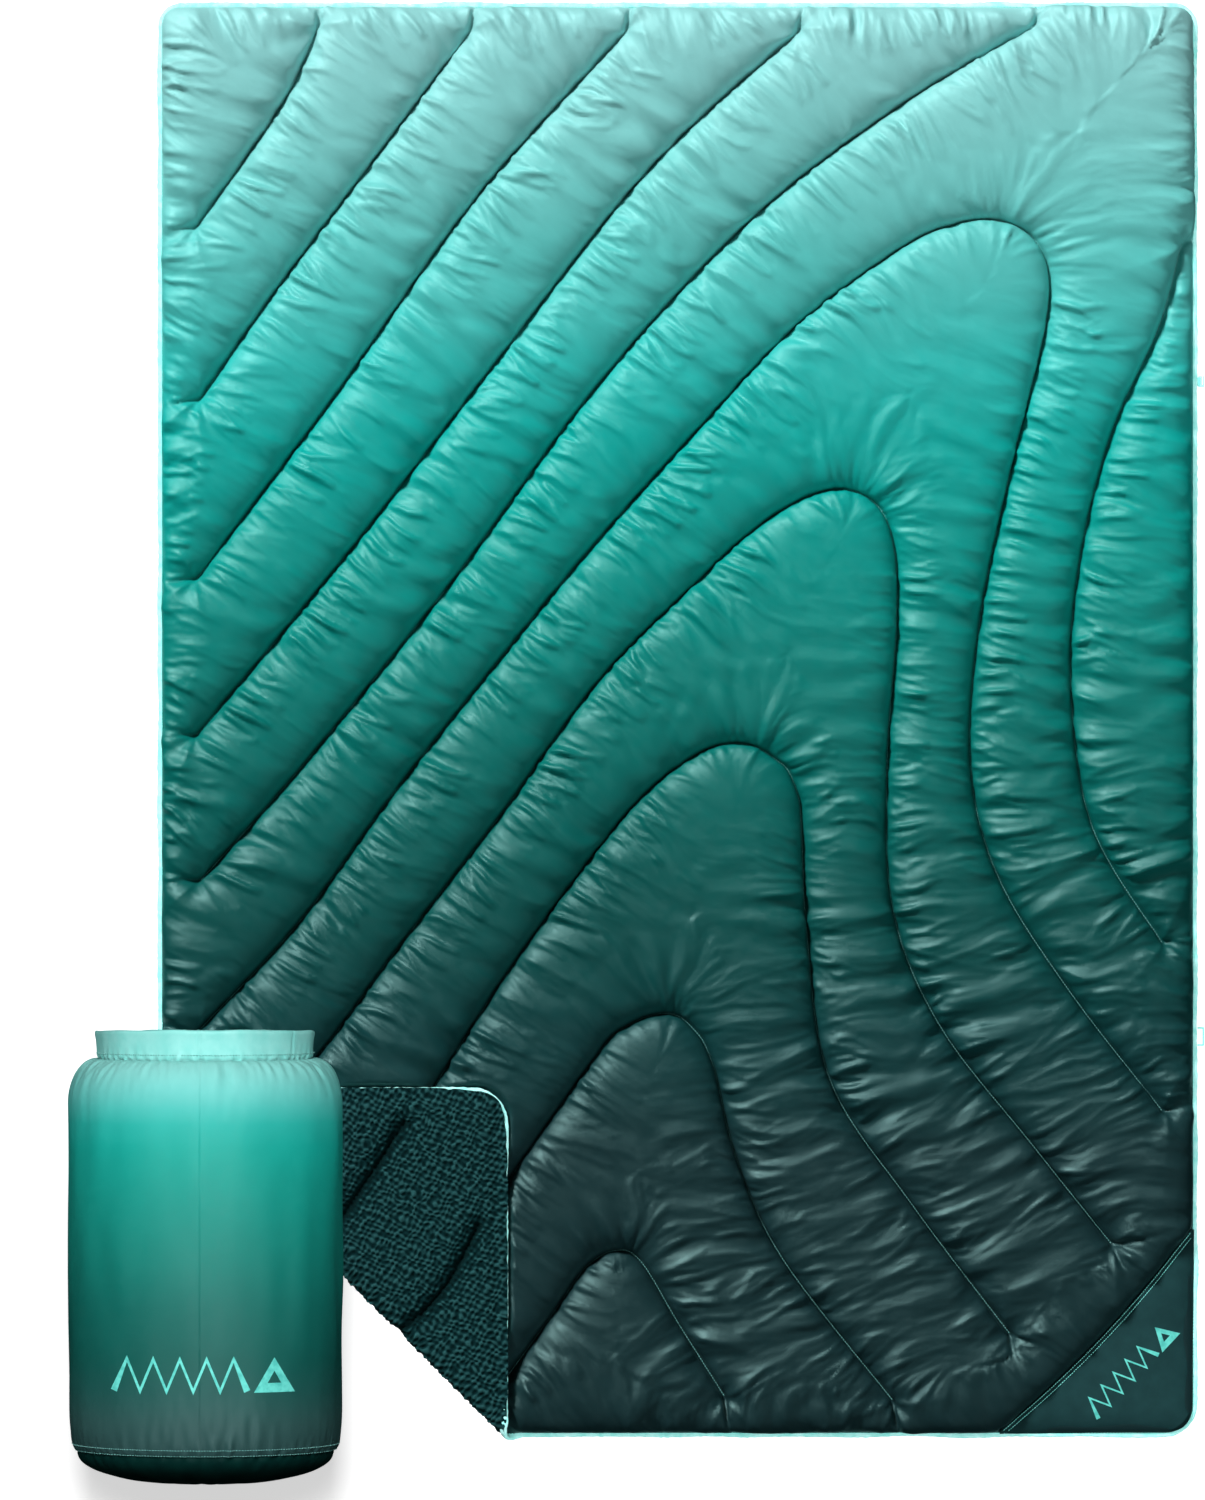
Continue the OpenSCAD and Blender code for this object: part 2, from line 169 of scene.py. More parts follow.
def quilt_path(number):
    """One quilting line on the flat blanket, its folded stretch laid back in place"""
    parts = []
    for ring in top_rings(f"quilt_stitch_{number}"):
        line = centre_line(ring)
        if line[0, 2] > FOLD_Z:
            line = np.stack([MIRROR_SUM - line[:, 1], MIRROR_SUM - line[:, 0]], 1)
        parts.append(line[:, :2])
    parts = [part if part[0].sum() < part[-1].sum() else part[::-1] for part in parts]
    parts.sort(key=lambda part: part[0].sum())
    if len(parts) == 2 and np.linalg.norm(parts[0][-1] - parts[1][0]) > 0.15:
        parts[1] = parts[1][::-1]
    return smooth(np.vstack(parts), 0.002)


def patch_path():
    """The corner patch's inner edge, from the blanket's bottom edge to its right edge"""
    ring = top_rings("corner_patch")[0][:, :2]
    low, high = ring[ring[:, 0].argmin()], ring[ring[:, 1].argmax()]
    along = (high - low) / np.linalg.norm(high - low)
    away = (ring - low) @ np.array([-along[1], along[0]])
    arc = ring[np.abs(away) < 0.03]
    arc = arc[np.argsort((arc - low) @ along)]
    overshoot = 0.012
    ends = low - along * overshoot, high + along * overshoot
    return smooth(np.vstack([ends[0], arc[1:-1], ends[1]]), 0.002)


def outline(inset, step):
    """The blanket's edge on the flat, pulled in by inset, anticlockwise from the foot's middle"""
    x, y = HALF_W - inset, HALF_L - inset
    points = [[0, -y]]
    for sx, sy, turn in ((1, -1, -90), (1, 1, 0), (-1, 1, 90), (-1, -1, 180)):
        r = (HEAD_CORNER_R if sy > 0 else FOOT_CORNER_R) - inset
        for angle in np.radians(turn + np.linspace(0, 90, 13)):
            points.append([sx * (x - r) + r * math.cos(angle), sy * (y - r) + r * math.sin(angle)])
    return evenly(np.array(points + points[:1]), step)


# ---------------------------------------------------------------- fields of noise

def band(rng, shape, spacing, wavelength, spread=0.45):
    """Noise whose waves are all about one wavelength"""
    fx = np.fft.fftfreq(shape[0], spacing)[:, None]
    fy = np.fft.rfftfreq(shape[1], spacing)[None]
    response = np.exp(-np.log(np.hypot(fx, fy) * wavelength + 1e-9) ** 2 / (2 * spread ** 2))
    wave = np.fft.irfft2(np.fft.rfft2(rng.standard_normal(shape)) * response, s=shape)
    return wave / wave.std()


def sample(field, i, j):
    """Values of a grid between its points"""
    i = np.clip(i, 0, field.shape[0] - 1.001)
    j = np.clip(j, 0, field.shape[1] - 1.001)
    a, b = i.astype(int), j.astype(int)
    extra = (1,) * (field.ndim - 2)
    fi, fj = (i - a).reshape(i.shape + extra), (j - b).reshape(j.shape + extra)
    low = field[a, b] * (1 - fi) + field[a + 1, b] * fi
    high = field[a, b + 1] * (1 - fi) + field[a + 1, b + 1] * fi
    return low * (1 - fj) + high * fj


def resized(field, shape):
    i, j = np.meshgrid(np.linspace(0, field.shape[0] - 1, shape[0]),
                       np.linspace(0, field.shape[1] - 1, shape[1]), indexing="ij")
    return sample(field, i, j)


def streaks(rng, spacing, direction, wavelength, length):
    """Noise drawn out along a field of directions, as wrinkles are"""
    base = band(rng, direction.shape, spacing, wavelength, 0.3)
    i, j = np.indices(direction.shape)
    di, dj = np.cos(direction) / spacing, np.sin(direction) / spacing
    reach = math.ceil(1.6 * length / wavelength)
    total = 0
    for k in range(-reach, reach + 1):
        shift = k * length / 2 / reach
        weight = math.cos(0.5 * math.pi * k / (reach + 1)) ** 2
        total = total + weight * sample(base, i + di * shift, j + dj * shift)
    return total / total.std()


# ---------------------------------------------------------------- meshes

def mesh_object(name, verts, faces, flat=None, soft=True):
    """A mesh object from arrays of points and of triangles or quads"""
    mesh = bpy.data.meshes.new(name)
    size = faces.shape[1]
    mesh.vertices.add(len(verts))
    mesh.vertices.foreach_set("co", verts.astype(np.float32).ravel())
    mesh.loops.add(faces.size)
    mesh.loops.foreach_set("vertex_index", faces.astype(np.int32).ravel())
    mesh.polygons.add(len(faces))
    mesh.polygons.foreach_set("loop_start", np.arange(0, faces.size, size, dtype=np.int32))
    mesh.update(calc_edges=True)
    mesh.validate()
    if flat is not None:
        places = mesh.attributes.new("flat", "FLOAT_VECTOR", "POINT")
        places.data.foreach_set("vector", flat.astype(np.float32).ravel())
    if soft:
        mesh.shade_smooth()
    made = bpy.data.objects.new(name, mesh)
    bpy.context.scene.collection.objects.link(made)
    return made


def grid_faces(rows, columns, wrap_rows=False, wrap_columns=False, seams=None):
    """Quads over a grid, or triangles whose diagonals follow the seams, anticlockwise from above"""
    i = np.arange(rows if wrap_rows else rows - 1)[:, None]
    j = np.arange(columns if wrap_columns else columns - 1)[None]
    i2, j2 = (i + 1) % rows, (j + 1) % columns
    a, b, c, d = (x * columns + y for x, y in ((i, j), (i2, j), (i2, j2), (i, j2)))
    if seams is None:
        return np.stack([a, b, c, d], -1).reshape(-1, 4)
    rising = seams[:-1, :-1] & seams[1:, 1:]
    falling = seams[1:, :-1] & seams[:-1, 1:]
    rising = rising | (~falling & ((i + j) % 2 == 0))
    one = np.where(rising[..., None], np.stack([a, b, c], -1), np.stack([a, b, d], -1))
    two = np.where(rising[..., None], np.stack([a, c, d], -1), np.stack([b, c, d], -1))
    return np.concatenate([one.reshape(-1, 3), two.reshape(-1, 3)])


def stitch_row(name, path, up, pitch, length, radius, carry=None):
    """A row of separate stitches, each a small spindle, along a path with upward vectors"""
    run = np.r_[0, np.cumsum(np.linalg.norm(np.diff(path, axis=0), axis=1))]
    count = max(1, int(run[-1] / pitch))
    middles = (np.arange(count) + 0.5) * run[-1] / count

    def at(places, values):
        return np.stack([np.interp(places, run, column) for column in values.T], 1)

    start, end = at(middles - length / 2, path), at(middles + length / 2, path)
    along = (end - start) / (np.linalg.norm(end - start, axis=1, keepdims=True) + 1e-9)
    side = np.cross(at(middles, up), along)
    side /= np.linalg.norm(side, axis=1, keepdims=True) + 1e-9
    over = np.cross(along, side)
    sides = 5
    rings = []
    for t, share in ((0, 0.15), (0.25, 1), (0.75, 1), (1, 0.15)):
        for k in range(sides):
            a = 2 * math.pi * k / sides
            rings.append(start + (end - start) * t
                         + radius * share * (math.cos(a) * side + math.sin(a) * over))
    verts = np.stack(rings, 1)
    faces = []
    for ring in range(3):
        for k in range(sides):
            a, b = ring * sides + k, ring * sides + (k + 1) % sides
            faces += [[a, b, b + sides], [a, b + sides, a + sides]]
    for ring, order in ((0, (0, 2, 1)), (3, (0, 1, 2))):
        for k in range(1, sides - 1):
            fan = (0, k, k + 1)
            faces.append([ring * sides + fan[o] for o in order])
    faces = np.array(faces)[None] + (np.arange(count) * len(rings))[:, None, None]
    verts = verts.reshape(-1, 3)
    return mesh_object(name, verts if carry is None else carry(verts), faces.reshape(-1, 3))


# ---------------------------------------------------------------- the quilt, as cloth

def flat_grid(spacing, seams, inset):
    """A grid over the flat blanket, with one of its points moved onto each seam it crosses"""
    columns = int(round(2 * HALF_W / spacing)) + 1
    rows = int(round(2 * HALF_L / spacing)) + 1
    u = np.linspace(-HALF_W + inset, HALF_W - inset, columns)
    v = np.linspace(-HALF_L + inset, HALF_L - inset, rows)
    place = np.stack(np.meshgrid(u, v, indexing="ij"), -1)
    held = np.zeros((columns, rows), bool)
    for path in seams:
        for axis, ruler, other in ((0, u, v), (1, v, u)):
            a, b = path[:-1], path[1:]
            run = np.abs(b - a)
            a, b = a[run[:, axis] >= run[:, 1 - axis]], b[run[:, axis] >= run[:, 1 - axis]]
            low, high = np.minimum(a[:, axis], b[:, axis]), np.maximum(a[:, axis], b[:, axis])
            step, first = ruler[1] - ruler[0], ruler[0]
            for k in range(len(a)):
                start, stop = math.ceil((low[k] - first) / step), math.floor((high[k] - first) / step)
                for n in range(max(start, 1), min(stop, len(ruler) - 2) + 1):
                    t = (ruler[n] - a[k, axis]) / (b[k, axis] - a[k, axis])
                    across = a[k, 1 - axis] + t * (b[k, 1 - axis] - a[k, 1 - axis])
                    m = int(round((across - other[0]) / (other[1] - other[0])))
                    if 0 < m < len(other) - 1:
                        i, j = (n, m) if axis == 0 else (m, n)
                        place[i, j, axis] = ruler[n]
                        place[i, j, 1 - axis] = across
                        held[i, j] = True
    return rounded(place, inset), held


def rounded(place, inset):
    """Pulls a square grid's corners in to the blanket's round ones"""
    place = place.copy()
    for sx in (-1, 1):
        for sy in (-1, 1):
            r = (HEAD_CORNER_R if sy > 0 else FOOT_CORNER_R) - inset
            cx, cy = sx * (HALF_W - inset - r), sy * (HALF_L - inset - r)
            a = np.clip((place[..., 0] - cx) * sx / r, 0, 1)
            b = np.clip((place[..., 1] - cy) * sy / r, 0, 1)
            inside = (a > 0) & (b > 0)
            place[inside, 0] = (cx + sx * r * a * np.sqrt(1 - b * b / 2))[inside]
            place[inside, 1] = (cy + sy * r * b * np.sqrt(1 - a * a / 2))[inside]
    return place


def seam_fields(place, seams, reach=0.045):
    """How far each point is from a seam, and which way the seams round it run, as a doubled angle"""
    spots, turns = [], []
    for path in seams:
        path = evenly(path, 0.005)
        along = np.gradient(path, axis=0)
        angle = np.arctan2(along[:, 1], along[:, 0])
        spots.append(path)
        turns.append(np.stack([np.cos(2 * angle), np.sin(2 * angle)], 1))
    spots, turns = np.vstack(spots).astype(np.float32), np.vstack(turns).astype(np.float32)
    points = place.reshape(-1, 2).astype(np.float32)
    distance = np.empty(len(points), np.float32)
    doubled = np.empty((len(points), 2), np.float32)
    block = 2048
    for k in range(0, len(points), block):
        square = ((points[k:k + block, None] - spots[None]) ** 2).sum(2)
        nearest = square.min(1, keepdims=True)
        distance[k:k + block] = np.sqrt(nearest[:, 0])
        doubled[k:k + block] = np.exp((nearest - square) / (2 * reach * reach)) @ turns
    return distance.reshape(place.shape[:2]), doubled.reshape(place.shape)


def cloth_links(flat, along, grow_along, grow_across, free):
    """Pairs of neighbouring points, in groups that share no point, with their cut lengths"""
    columns, rows = flat.shape[:2]
    cos, sin = np.cos(along), np.sin(along)
    links = []
    for di, dj, stiff in ((1, 0, 1), (0, 1, 1), (1, 1, 0.5), (1, -1, 0.5), (2, 0, 0.15), (0, 2, 0.15)):
        reach = max(di, abs(dj))
        count = columns if di else rows
        for start in range(2 * reach):
            if True:
                n = len(range(start, count - reach, 2 * reach))
                if n <= 0:
                    continue
                first = slice(start, start + 2 * reach * (n - 1) + 1, 2 * reach)
                second = slice(start + reach, start + reach + 2 * reach * (n - 1) + 1, 2 * reach)
                if di:
                    low, high = max(0, -dj), rows - max(0, dj)
                    a, b = (first, slice(low, high)), (second, slice(low + dj, high + dj))
                else:
                    a, b = (slice(None), first), (slice(None), second)
                gap = flat[b] - flat[a]
                cut = np.sqrt((gap ** 2).sum(2)) + 1e-9
                share = ((gap[..., 0] * cos[a] + gap[..., 1] * sin[a]) / cut) ** 2
                grow = ((grow_along[a] + grow_along[b]) * share
                        + (grow_across[a] + grow_across[b]) * (1 - share)) / 2
                both = np.maximum(free[a] + free[b], 1e-6)
                links.append((a, b, cut * (1 + grow), (stiff * free[a] / both)[..., None],
                              (stiff * free[b] / both)[..., None], reach == 2))
    return links


def relax(place, links, free, steps, pressure):
    """Lets cloth that is pinned at its seams puff up until its cut lengths stop it"""
    place = place.astype(np.float32)
    before = place.copy()
    loose = free[..., None]
    for _ in range(steps):
        moved = (place - before) * 0.9
        before = place.copy()
        normal = np.zeros_like(place)
        across = np.cross(place[2:, 1:-1] - place[:-2, 1:-1], place[1:-1, 2:] - place[1:-1, :-2])
        normal[1:-1, 1:-1] = across / (np.linalg.norm(across, axis=2, keepdims=True) + 1e-12)
        push = pressure * np.clip(1 - place[..., 2:3] / PUFF_Z, -1, 1)
        place = place + (moved + normal * push) * loose
        for a, b, cut, pull_a, pull_b, bending in links:
            gap = place[b] - place[a]
            length = np.sqrt(np.einsum("ijk,ijk->ij", gap, gap)) + 1e-9
            change = (length - cut) / length
            if bending:
                change = np.minimum(change, 0)
            gap *= change[..., None]
            place[a] += gap * pull_a
            place[b] -= gap * pull_b
    return place


def across_channels(doubled):
    """The direction wrinkles take: across the channels, leaning a little towards one slope"""
    length = np.linalg.norm(doubled, axis=2) + 1e-9
    lean, share = math.radians(-36), 0.6
    return 0.5 * np.arctan2(share * math.sin(lean) - doubled[..., 1] / length,
                            share * math.cos(lean) - doubled[..., 0] / length)


def lenses(wave):
    """The upper halves of a wave: separate ridges with flat cloth between them"""
    return np.clip(wave - 0.1, 0, 2.2)


def under_arches(place):
    """Less than 1 just inside the tops of the arched lines, where the cloth lies smooth"""
    share = np.ones(place.shape[:2])
    for path in SEAMS:
        top = path[path[:, 1].argmax()]
        if min(np.linalg.norm(top - path[0]), np.linalg.norm(top - path[-1])) > 0.1:
            gap = (place - top + [0, 0.065]) / [0.085, 0.060]
            share *= 1 - 0.85 * np.exp(-(gap ** 2).sum(2))
    return share


def wrinkles(rng, spacing, place, doubled, distance):
    """Pulled folds that run across the channels, finest and deepest beside the stitching"""
    shape = distance.shape
    slope = np.stack(np.gradient(distance, spacing), -1)
    lit_side = 0.72 + 0.5 * (slope @ np.array([0.6, -0.8]))
    near = np.exp(-(distance / 0.062) ** 2)
    close = np.exp(-distance / 0.020)
    patchy = np.clip(0.95 + 0.32 * band(rng, shape, spacing, 0.20), 0.4, 1.45)
    sway = across_channels(doubled) + 0.16 * band(rng, shape, spacing, 0.15)
    wide = streaks(rng, spacing, sway, 0.055, 0.18)
    folds = streaks(rng, spacing, sway + 0.08, 0.024, 0.13)
    branch = streaks(rng, spacing, sway - 0.25, 0.018, 0.09)
    fine = streaks(rng, spacing, sway, 0.011, 0.045)
    height = (0.0015 * (0.4 + near) * wide
              + 0.0025 * lit_side * (0.10 + near) * patchy * lenses(folds)
              + 0.0012 * lit_side * (0.08 + near) * patchy * lenses(branch)
              + 0.00035 * (0.15 + close) * patchy * fine)
    return height * under_arches(place) * (1 - np.exp(-(distance / 0.012) ** 2))


def tacks():
    """The ends of the quilting lines that stop short of the blanket's edge"""
    ends = [end for path in SEAMS for end in (path[0], path[-1])]
    return [end for end in ends if abs(end[0]) < HALF_W - 0.012 and abs(end[1]) < HALF_L - 0.012]


def tack_folds(place):
    """The star of small folds round each tack and its crease to the edge, and how calm all else is"""
    height = np.zeros(place.shape[:2])
    calm = np.ones(place.shape[:2])
    rng = np.random.default_rng(17)
    for end in tacks():
        gap = place - end
        reach = np.linalg.norm(gap, axis=2)
        angle = np.arctan2(gap[..., 1], gap[..., 0])
        points, turn = rng.integers(5, 7), rng.uniform(0, 6)
        star = 1 - 1.6 * np.abs(np.sin(points * angle / 2 + turn + 0.45 * np.sin(angle + turn)))
        height += 0.0042 * star * np.exp(-reach / 0.050) * (1 - np.exp(-(reach / 0.014) ** 2))
        calm *= 1 - 0.75 * np.exp(-(reach / 0.040) ** 2)
        sideways = HALF_W - abs(end[0]) < HALF_L - abs(end[1])
        outward = np.sign(end[0 if sideways else 1])
        along = gap[..., 0 if sideways else 1] * outward
        off = gap[..., 1 if sideways else 0] - 0.25 * along
        crease = np.exp(-(off / 0.0045) ** 2) * step_up(along, -0.004, 0.004)
        height -= 0.0045 * crease * np.exp(-np.maximum(along, 0) / 0.05)
    return height, calm


def raised(surface, height):
    """A surface moved out along its own normals, which are leant upwards so that seams stay open"""
    du, dv = np.gradient(surface, axis=0), np.gradient(surface, axis=1)
    normal = np.cross(du, dv)
    for _ in range(3):
        normal[1:-1, 1:-1] += (normal[2:, 1:-1] + normal[:-2, 1:-1] + normal[1:-1, 2:] + normal[1:-1, :-2]) / 2
    normal /= np.linalg.norm(normal, axis=2, keepdims=True) + 1e-12
    normal[..., 2] += 1.2
    normal /= np.linalg.norm(normal, axis=2, keepdims=True)
    return surface + normal * height[..., None]


def height_limit(place):
    """How high the face may puff: less under the folded corner and the sack"""
    x, y = place[..., 0], place[..., 1]
    low = FACE_TOP - 0.0004
    past_fold = (FOLD_SUM - x - y) / ROOT2
    over_x, over_y = x - FLAP_RIGHT + FOOT_CORNER_R, y - FLAP_TOP + FOOT_CORNER_R
    outside = (np.hypot(np.maximum(over_x, 0), np.maximum(over_y, 0)) - FOOT_CORNER_R
               + np.minimum(np.maximum(over_x, over_y), 0))
    room = 0.011 * step_up(outside, -0.014, 0) + 0.02 * step_up(outside, -0.001, 0.016)
    room = room * step_up(-past_fold, 0, 0.03)
    limit = low + room
    profile = body_profile()
    radius = np.interp(y - SACK_Y, profile[:, 1], profile[:, 0]) + 0.003
    sideways = np.minimum(np.abs(x - SACK_X), radius)
    under_sack = SACK_Z - np.sqrt(radius ** 2 - sideways ** 2) - 0.002
    beside = np.maximum(np.abs(x - SACK_X) - radius, y - (SACK_Y + SACK_L))
    under_sack = under_sack + 2 * np.maximum(beside + 0.005, 0)
    return np.minimum(limit, np.maximum(low, under_sack))


def pressed(height, limit, ease=0.0015):
    over = height - (limit - ease)
    return np.where(over > 0, limit - ease * np.exp(-np.maximum(over, 0) / ease), height)


def beyond_patch(place, arc):
    """How far points lie past the patch's inner edge, towards the corner"""
    low, high = arc[0], arc[-1]
    along = (high - low) / np.linalg.norm(high - low)
    t = (place - low) @ along
    off = (place - low) @ np.array([along[1], -along[0]])
    bow = np.interp(t, (arc - low) @ along, (arc - low) @ np.array([along[1], -along[0]]))
    reach = np.linalg.norm(high - low)
    return np.where((t > 0) & (t < reach), off - bow, np.where(off > 0.03, off, -1))


INSET = 0.0052
SEAMS = [quilt_path(number) for number in range(1, 12)]
ARC = patch_path()


def make_face():
    """Solves the face cloth on ever finer grids, then lays the wrinkles on it"""
    rng = np.random.default_rng(7)
    edge = outline(INSET, 0.005)
    levels = ((0.010, 110, 5e-4), (0.005, 90, 2.4e-4), (0.0027, 40, 1.1e-4))
    coarse, _ = flat_grid(0.006, [], INSET)
    far, doubled = seam_fields(coarse, SEAMS + [edge, ARC])
    lifted = None
    for spacing, steps, pressure in levels:
        place, held = flat_grid(spacing, SEAMS + [ARC], INSET)
        shape = held.shape
        on_arc = held & (np.abs(beyond_patch(place, ARC)) < 0.0008)
        distance = resized(far, shape)
        distance[held] = 0
        turned = resized(doubled, shape)
        along = 0.5 * np.arctan2(turned[..., 1], turned[..., 0])
        rim = np.zeros(shape, bool)
        rim[[0, -1]] = True
        rim[:, [0, -1]] = True
        patch = step_up(beyond_patch(place, ARC), 0, 0.012)
        flat = np.concatenate([place, np.zeros(shape + (1,))], -1).astype(np.float32)
        near = np.exp(-distance / 0.03)
        if lifted is None:
            lifted = np.zeros(shape + (3,))
            lifted[..., 2] = 0.016 - 0.010 * np.exp(-distance / 0.02)
        else:
            lifted = resized(lifted, shape)
        lifted[held] = (0, 0, SEAM_Z)
        lifted[rim] = (0, 0, RIM_Z)
        lifted[on_arc & ~rim] = (0, 0, ARC_Z)
        free = (~(held | rim)).astype(np.float32)
        calm = (1 - 0.97 * patch).astype(np.float32)
        grow_along = ((0.010 + 0.015 * near) * calm).astype(np.float32)
        grow_across = (0.042 * calm).astype(np.float32)
        links = cloth_links(flat, along, grow_along, grow_across, free)
        puffed = relax(flat + lifted, links, free, steps, pressure)
        lifted = puffed - flat
    stars, quiet = tack_folds(place)
    relief = wrinkles(rng, spacing, place, turned, distance) * quiet + stars
    puffed = raised(puffed, relief * calm * free)
    inward = np.minimum(HALF_W - np.abs(place[..., 0]), HALF_L - np.abs(place[..., 1])) - INSET
    smooth_z = RIM_Z + (ARC_Z + 0.001 - RIM_Z) * (1 - np.exp(-inward / 0.013))
    under_patch = step_up(beyond_patch(place, ARC), 0, 0.006)
    puffed[..., 2] += (smooth_z - puffed[..., 2]) * under_patch
    puffed[..., 2] = np.maximum(puffed[..., 2], RIM_Z)
    puffed[..., 2] = pressed(puffed[..., 2], height_limit(puffed))
    faces = grid_faces(*shape, seams=held)
    made = mesh_object("face_cloth", folded(puffed).reshape(-1, 3), faces, flat.reshape(-1, 3))
    return made, puffed


def face_height(puffed, place):
    """The face's height at places on the flat blanket"""
    i = (place[..., 0] + HALF_W - INSET) / (2 * (HALF_W - INSET)) * (puffed.shape[0] - 1)
    j = (place[..., 1] + HALF_L - INSET) / (2 * (HALF_L - INSET)) * (puffed.shape[1] - 1)
    return sample(puffed[..., 2], i, j)


# ---------------------------------------------------------------- fleece, binding, stitches

def make_fleece():
    """The backing: one sheet, fine enough for its bobbles where the folded corner shows it"""
    inset = 0.0022
    fine, coarse, shown = (0.00125), 0.009, 0.475

    def ruler(half):
        bend = -half + shown
        return np.r_[np.linspace(-half + inset, bend, int((shown - inset) / fine)),
                     np.linspace(bend, half - inset, int((2 * half - shown) / coarse))[1:]]

    place = np.stack(np.meshgrid(ruler(HALF_W), ruler(HALF_L), indexing="ij"), -1)
    place = rounded(place, inset)
    u, v = place[..., 0], place[..., 1]
    past_fold = (FOLD_SUM - u - v) / ROOT2
    spots = np.vstack([evenly(path, 0.003) for path in SEAMS])
    spots = spots[(FOLD_SUM - spots.sum(1)) / ROOT2 > -0.05].astype(np.float32)
    distance = np.full(u.shape, 0.2, np.float32)
    corner = past_fold > -0.02
    points = place[corner].astype(np.float32)
    close = np.concatenate([np.sqrt(((points[k:k + 2048, None] - spots[None]) ** 2).sum(2).min(1))
                            for k in range(0, len(points), 2048)])
    distance[corner] = close
    rng = np.random.default_rng(21)
    step = 0.004
    i, j = (u + HALF_W) / step, (v + HALF_L) / step
    cells = (int(2 * HALF_W / step) + 2, int(2 * HALF_L / step) + 2)
    wander = [sample(band(rng, cells, step, 0.035), i, j) * 0.0014 for _ in range(2)]
    uneven = sample(band(rng, cells, step, 0.014), i, j)
    tilt = math.radians(-15)
    a = ((u + wander[0]) * math.cos(tilt) + (v + wander[1]) * math.sin(tilt)) / 0.0090
    b = ((v + wander[1]) * math.cos(tilt) - (u + wander[0]) * math.sin(tilt)) / 0.0112
    bobble = 0.5 + 0.5 * np.cos(2 * math.pi * a) * np.cos(2 * math.pi * b)
    bobble = np.clip((1 - (1 - bobble) ** 1.6) * (1 + 0.30 * uneven), 0, 1.4)
    on_flap = step_up(past_fold, 0.01, 0.05)
    rim = np.minimum(HALF_W - np.abs(u), HALF_L - np.abs(v))
    plump = on_flap * step_up(rim, 0, 0.03) * (1 - np.exp(-distance / 0.012)) * 0.0050
    groove = 0.0030 * np.exp(-(distance / 0.0032) ** 2) + 0.0014 * np.exp(-(distance / 0.012) ** 2)
    depth = 0.0027 * (1 - bobble) + groove - plump - 0.0022 * on_flap * (1 - step_up(rim, 0.006, 0.016))
    height = np.where(past_fold > 0, depth, np.maximum(depth, 0))
    flat = np.concatenate([place, height[..., None]], -1)
    edge_fold = np.exp(-(rim - inset) / 0.005) * on_flap
    dashes = sample(band(rng, cells, step, 0.030), i, j)
    reach = 0.0024 - 0.0009 * np.clip(dashes, 0, 2) - 0.0065 * round_corner(u, v)
    flat[..., 0] -= edge_fold * reach * (HALF_W - np.abs(u) < HALF_L - np.abs(v))
    flat[..., 1] -= edge_fold * reach * (HALF_W - np.abs(u) >= HALF_L - np.abs(v))
    # Painted shade: this tone is high on the bobble tips and low in the crevices between bobbles and along the
    # quilting grooves, so those hollows are coloured darker.
    painted_shade_tone = np.stack([u, v, bobble - groove / 0.0030], -1)
    faces = grid_faces(*u.shape)[:, ::-1]
    return mesh_object("fleece_sheet", folded(flat).reshape(-1, 3), faces, painted_shade_tone.reshape(-1, 3))


def round_corner(u, v):
    """1 at the foot corner that is folded over, and 0 away from it"""
    return np.exp(-((u + HALF_W) ** 2 + (v + HALF_L) ** 2) / 0.055 ** 2)


def make_binding():
    """The tape that wraps the edge, a flattened tube with the small puckers its stitching pulls"""
    step = 0.003
    rng = np.random.default_rng(5)
    middle = outline(BINDING_W / 2, step)[:-1]
    along = np.roll(middle, -1, axis=0) - np.roll(middle, 1, axis=0)
    along /= np.linalg.norm(along, axis=1, keepdims=True)
    out = np.stack([along[:, 1], -along[:, 0]], 1)
    count = len(middle)
    lines = (count, 4)
    pucker = band(rng, lines, step, 0.011)[:, 0] * 0.00022
    sway = band(rng, (count, 4), step, 0.16)[:, 0] * 0.0005
    sides = 14
    turns = 2 * math.pi * np.arange(sides) / sides
    power = 2 / 3.2
    across = np.sign(np.cos(turns)) * np.abs(np.cos(turns)) ** power * (BINDING_W / 2 + 0.0002)
    up = np.sign(np.sin(turns)) * np.abs(np.sin(turns)) ** power * (BINDING_H / 2 - 0.0004)
    offset = across[None] + (pucker + sway)[:, None]
    place = middle[:, None] + out[:, None] * offset[..., None]
    height = BINDING_H / 2 + up[None] * (1 + 160 * pucker[:, None])
    flat = np.concatenate([place, height[..., None]], -1)
    faces = grid_faces(count, sides, wrap_rows=True, wrap_columns=True)
    return mesh_object("binding_tape", folded(flat).reshape(-1, 3), faces, flat.reshape(-1, 3))


def quilt_threads():
    """A row of stitches along each quilting line"""
    rows = []
    for number, path in enumerate(SEAMS, 1):
        place = np.column_stack([path, np.full(len(path), SEAM_Z + 0.0009)])
        up = np.tile([0.0, 0.0, 1.0], (len(path), 1))
        row = stitch_row(f"quilt_thread_{number}", place, up, 0.0036, 0.0030, 0.00050, folded)
        rows.append(finish_piece(row, "blanket", "quilting_thread", f"quilt_stitch_{number}"))
    return rows


def binding_threads():
    path = outline(BINDING_W - 0.0015, 0.003)
    top = np.column_stack([path, np.full(len(path), BINDING_H - 0.0001)])
    up = np.tile([0.0, 0.0, 1.0], (len(path), 1))
    return stitch_row("binding_thread", top, up, 0.0040, 0.0030, 0.0005, folded)


PATCH_RISE = 0.0016


def patch_height(puffed, place):
    """The height of the patch's cloth, which lies slack over the face"""
    slack = np.sin(place[..., 0] * 41 + place[..., 1] * 23) * np.sin(place[..., 1] * 57 - place[..., 0] * 31)
    return face_height(puffed, place) + PATCH_RISE + 0.0004 * slack


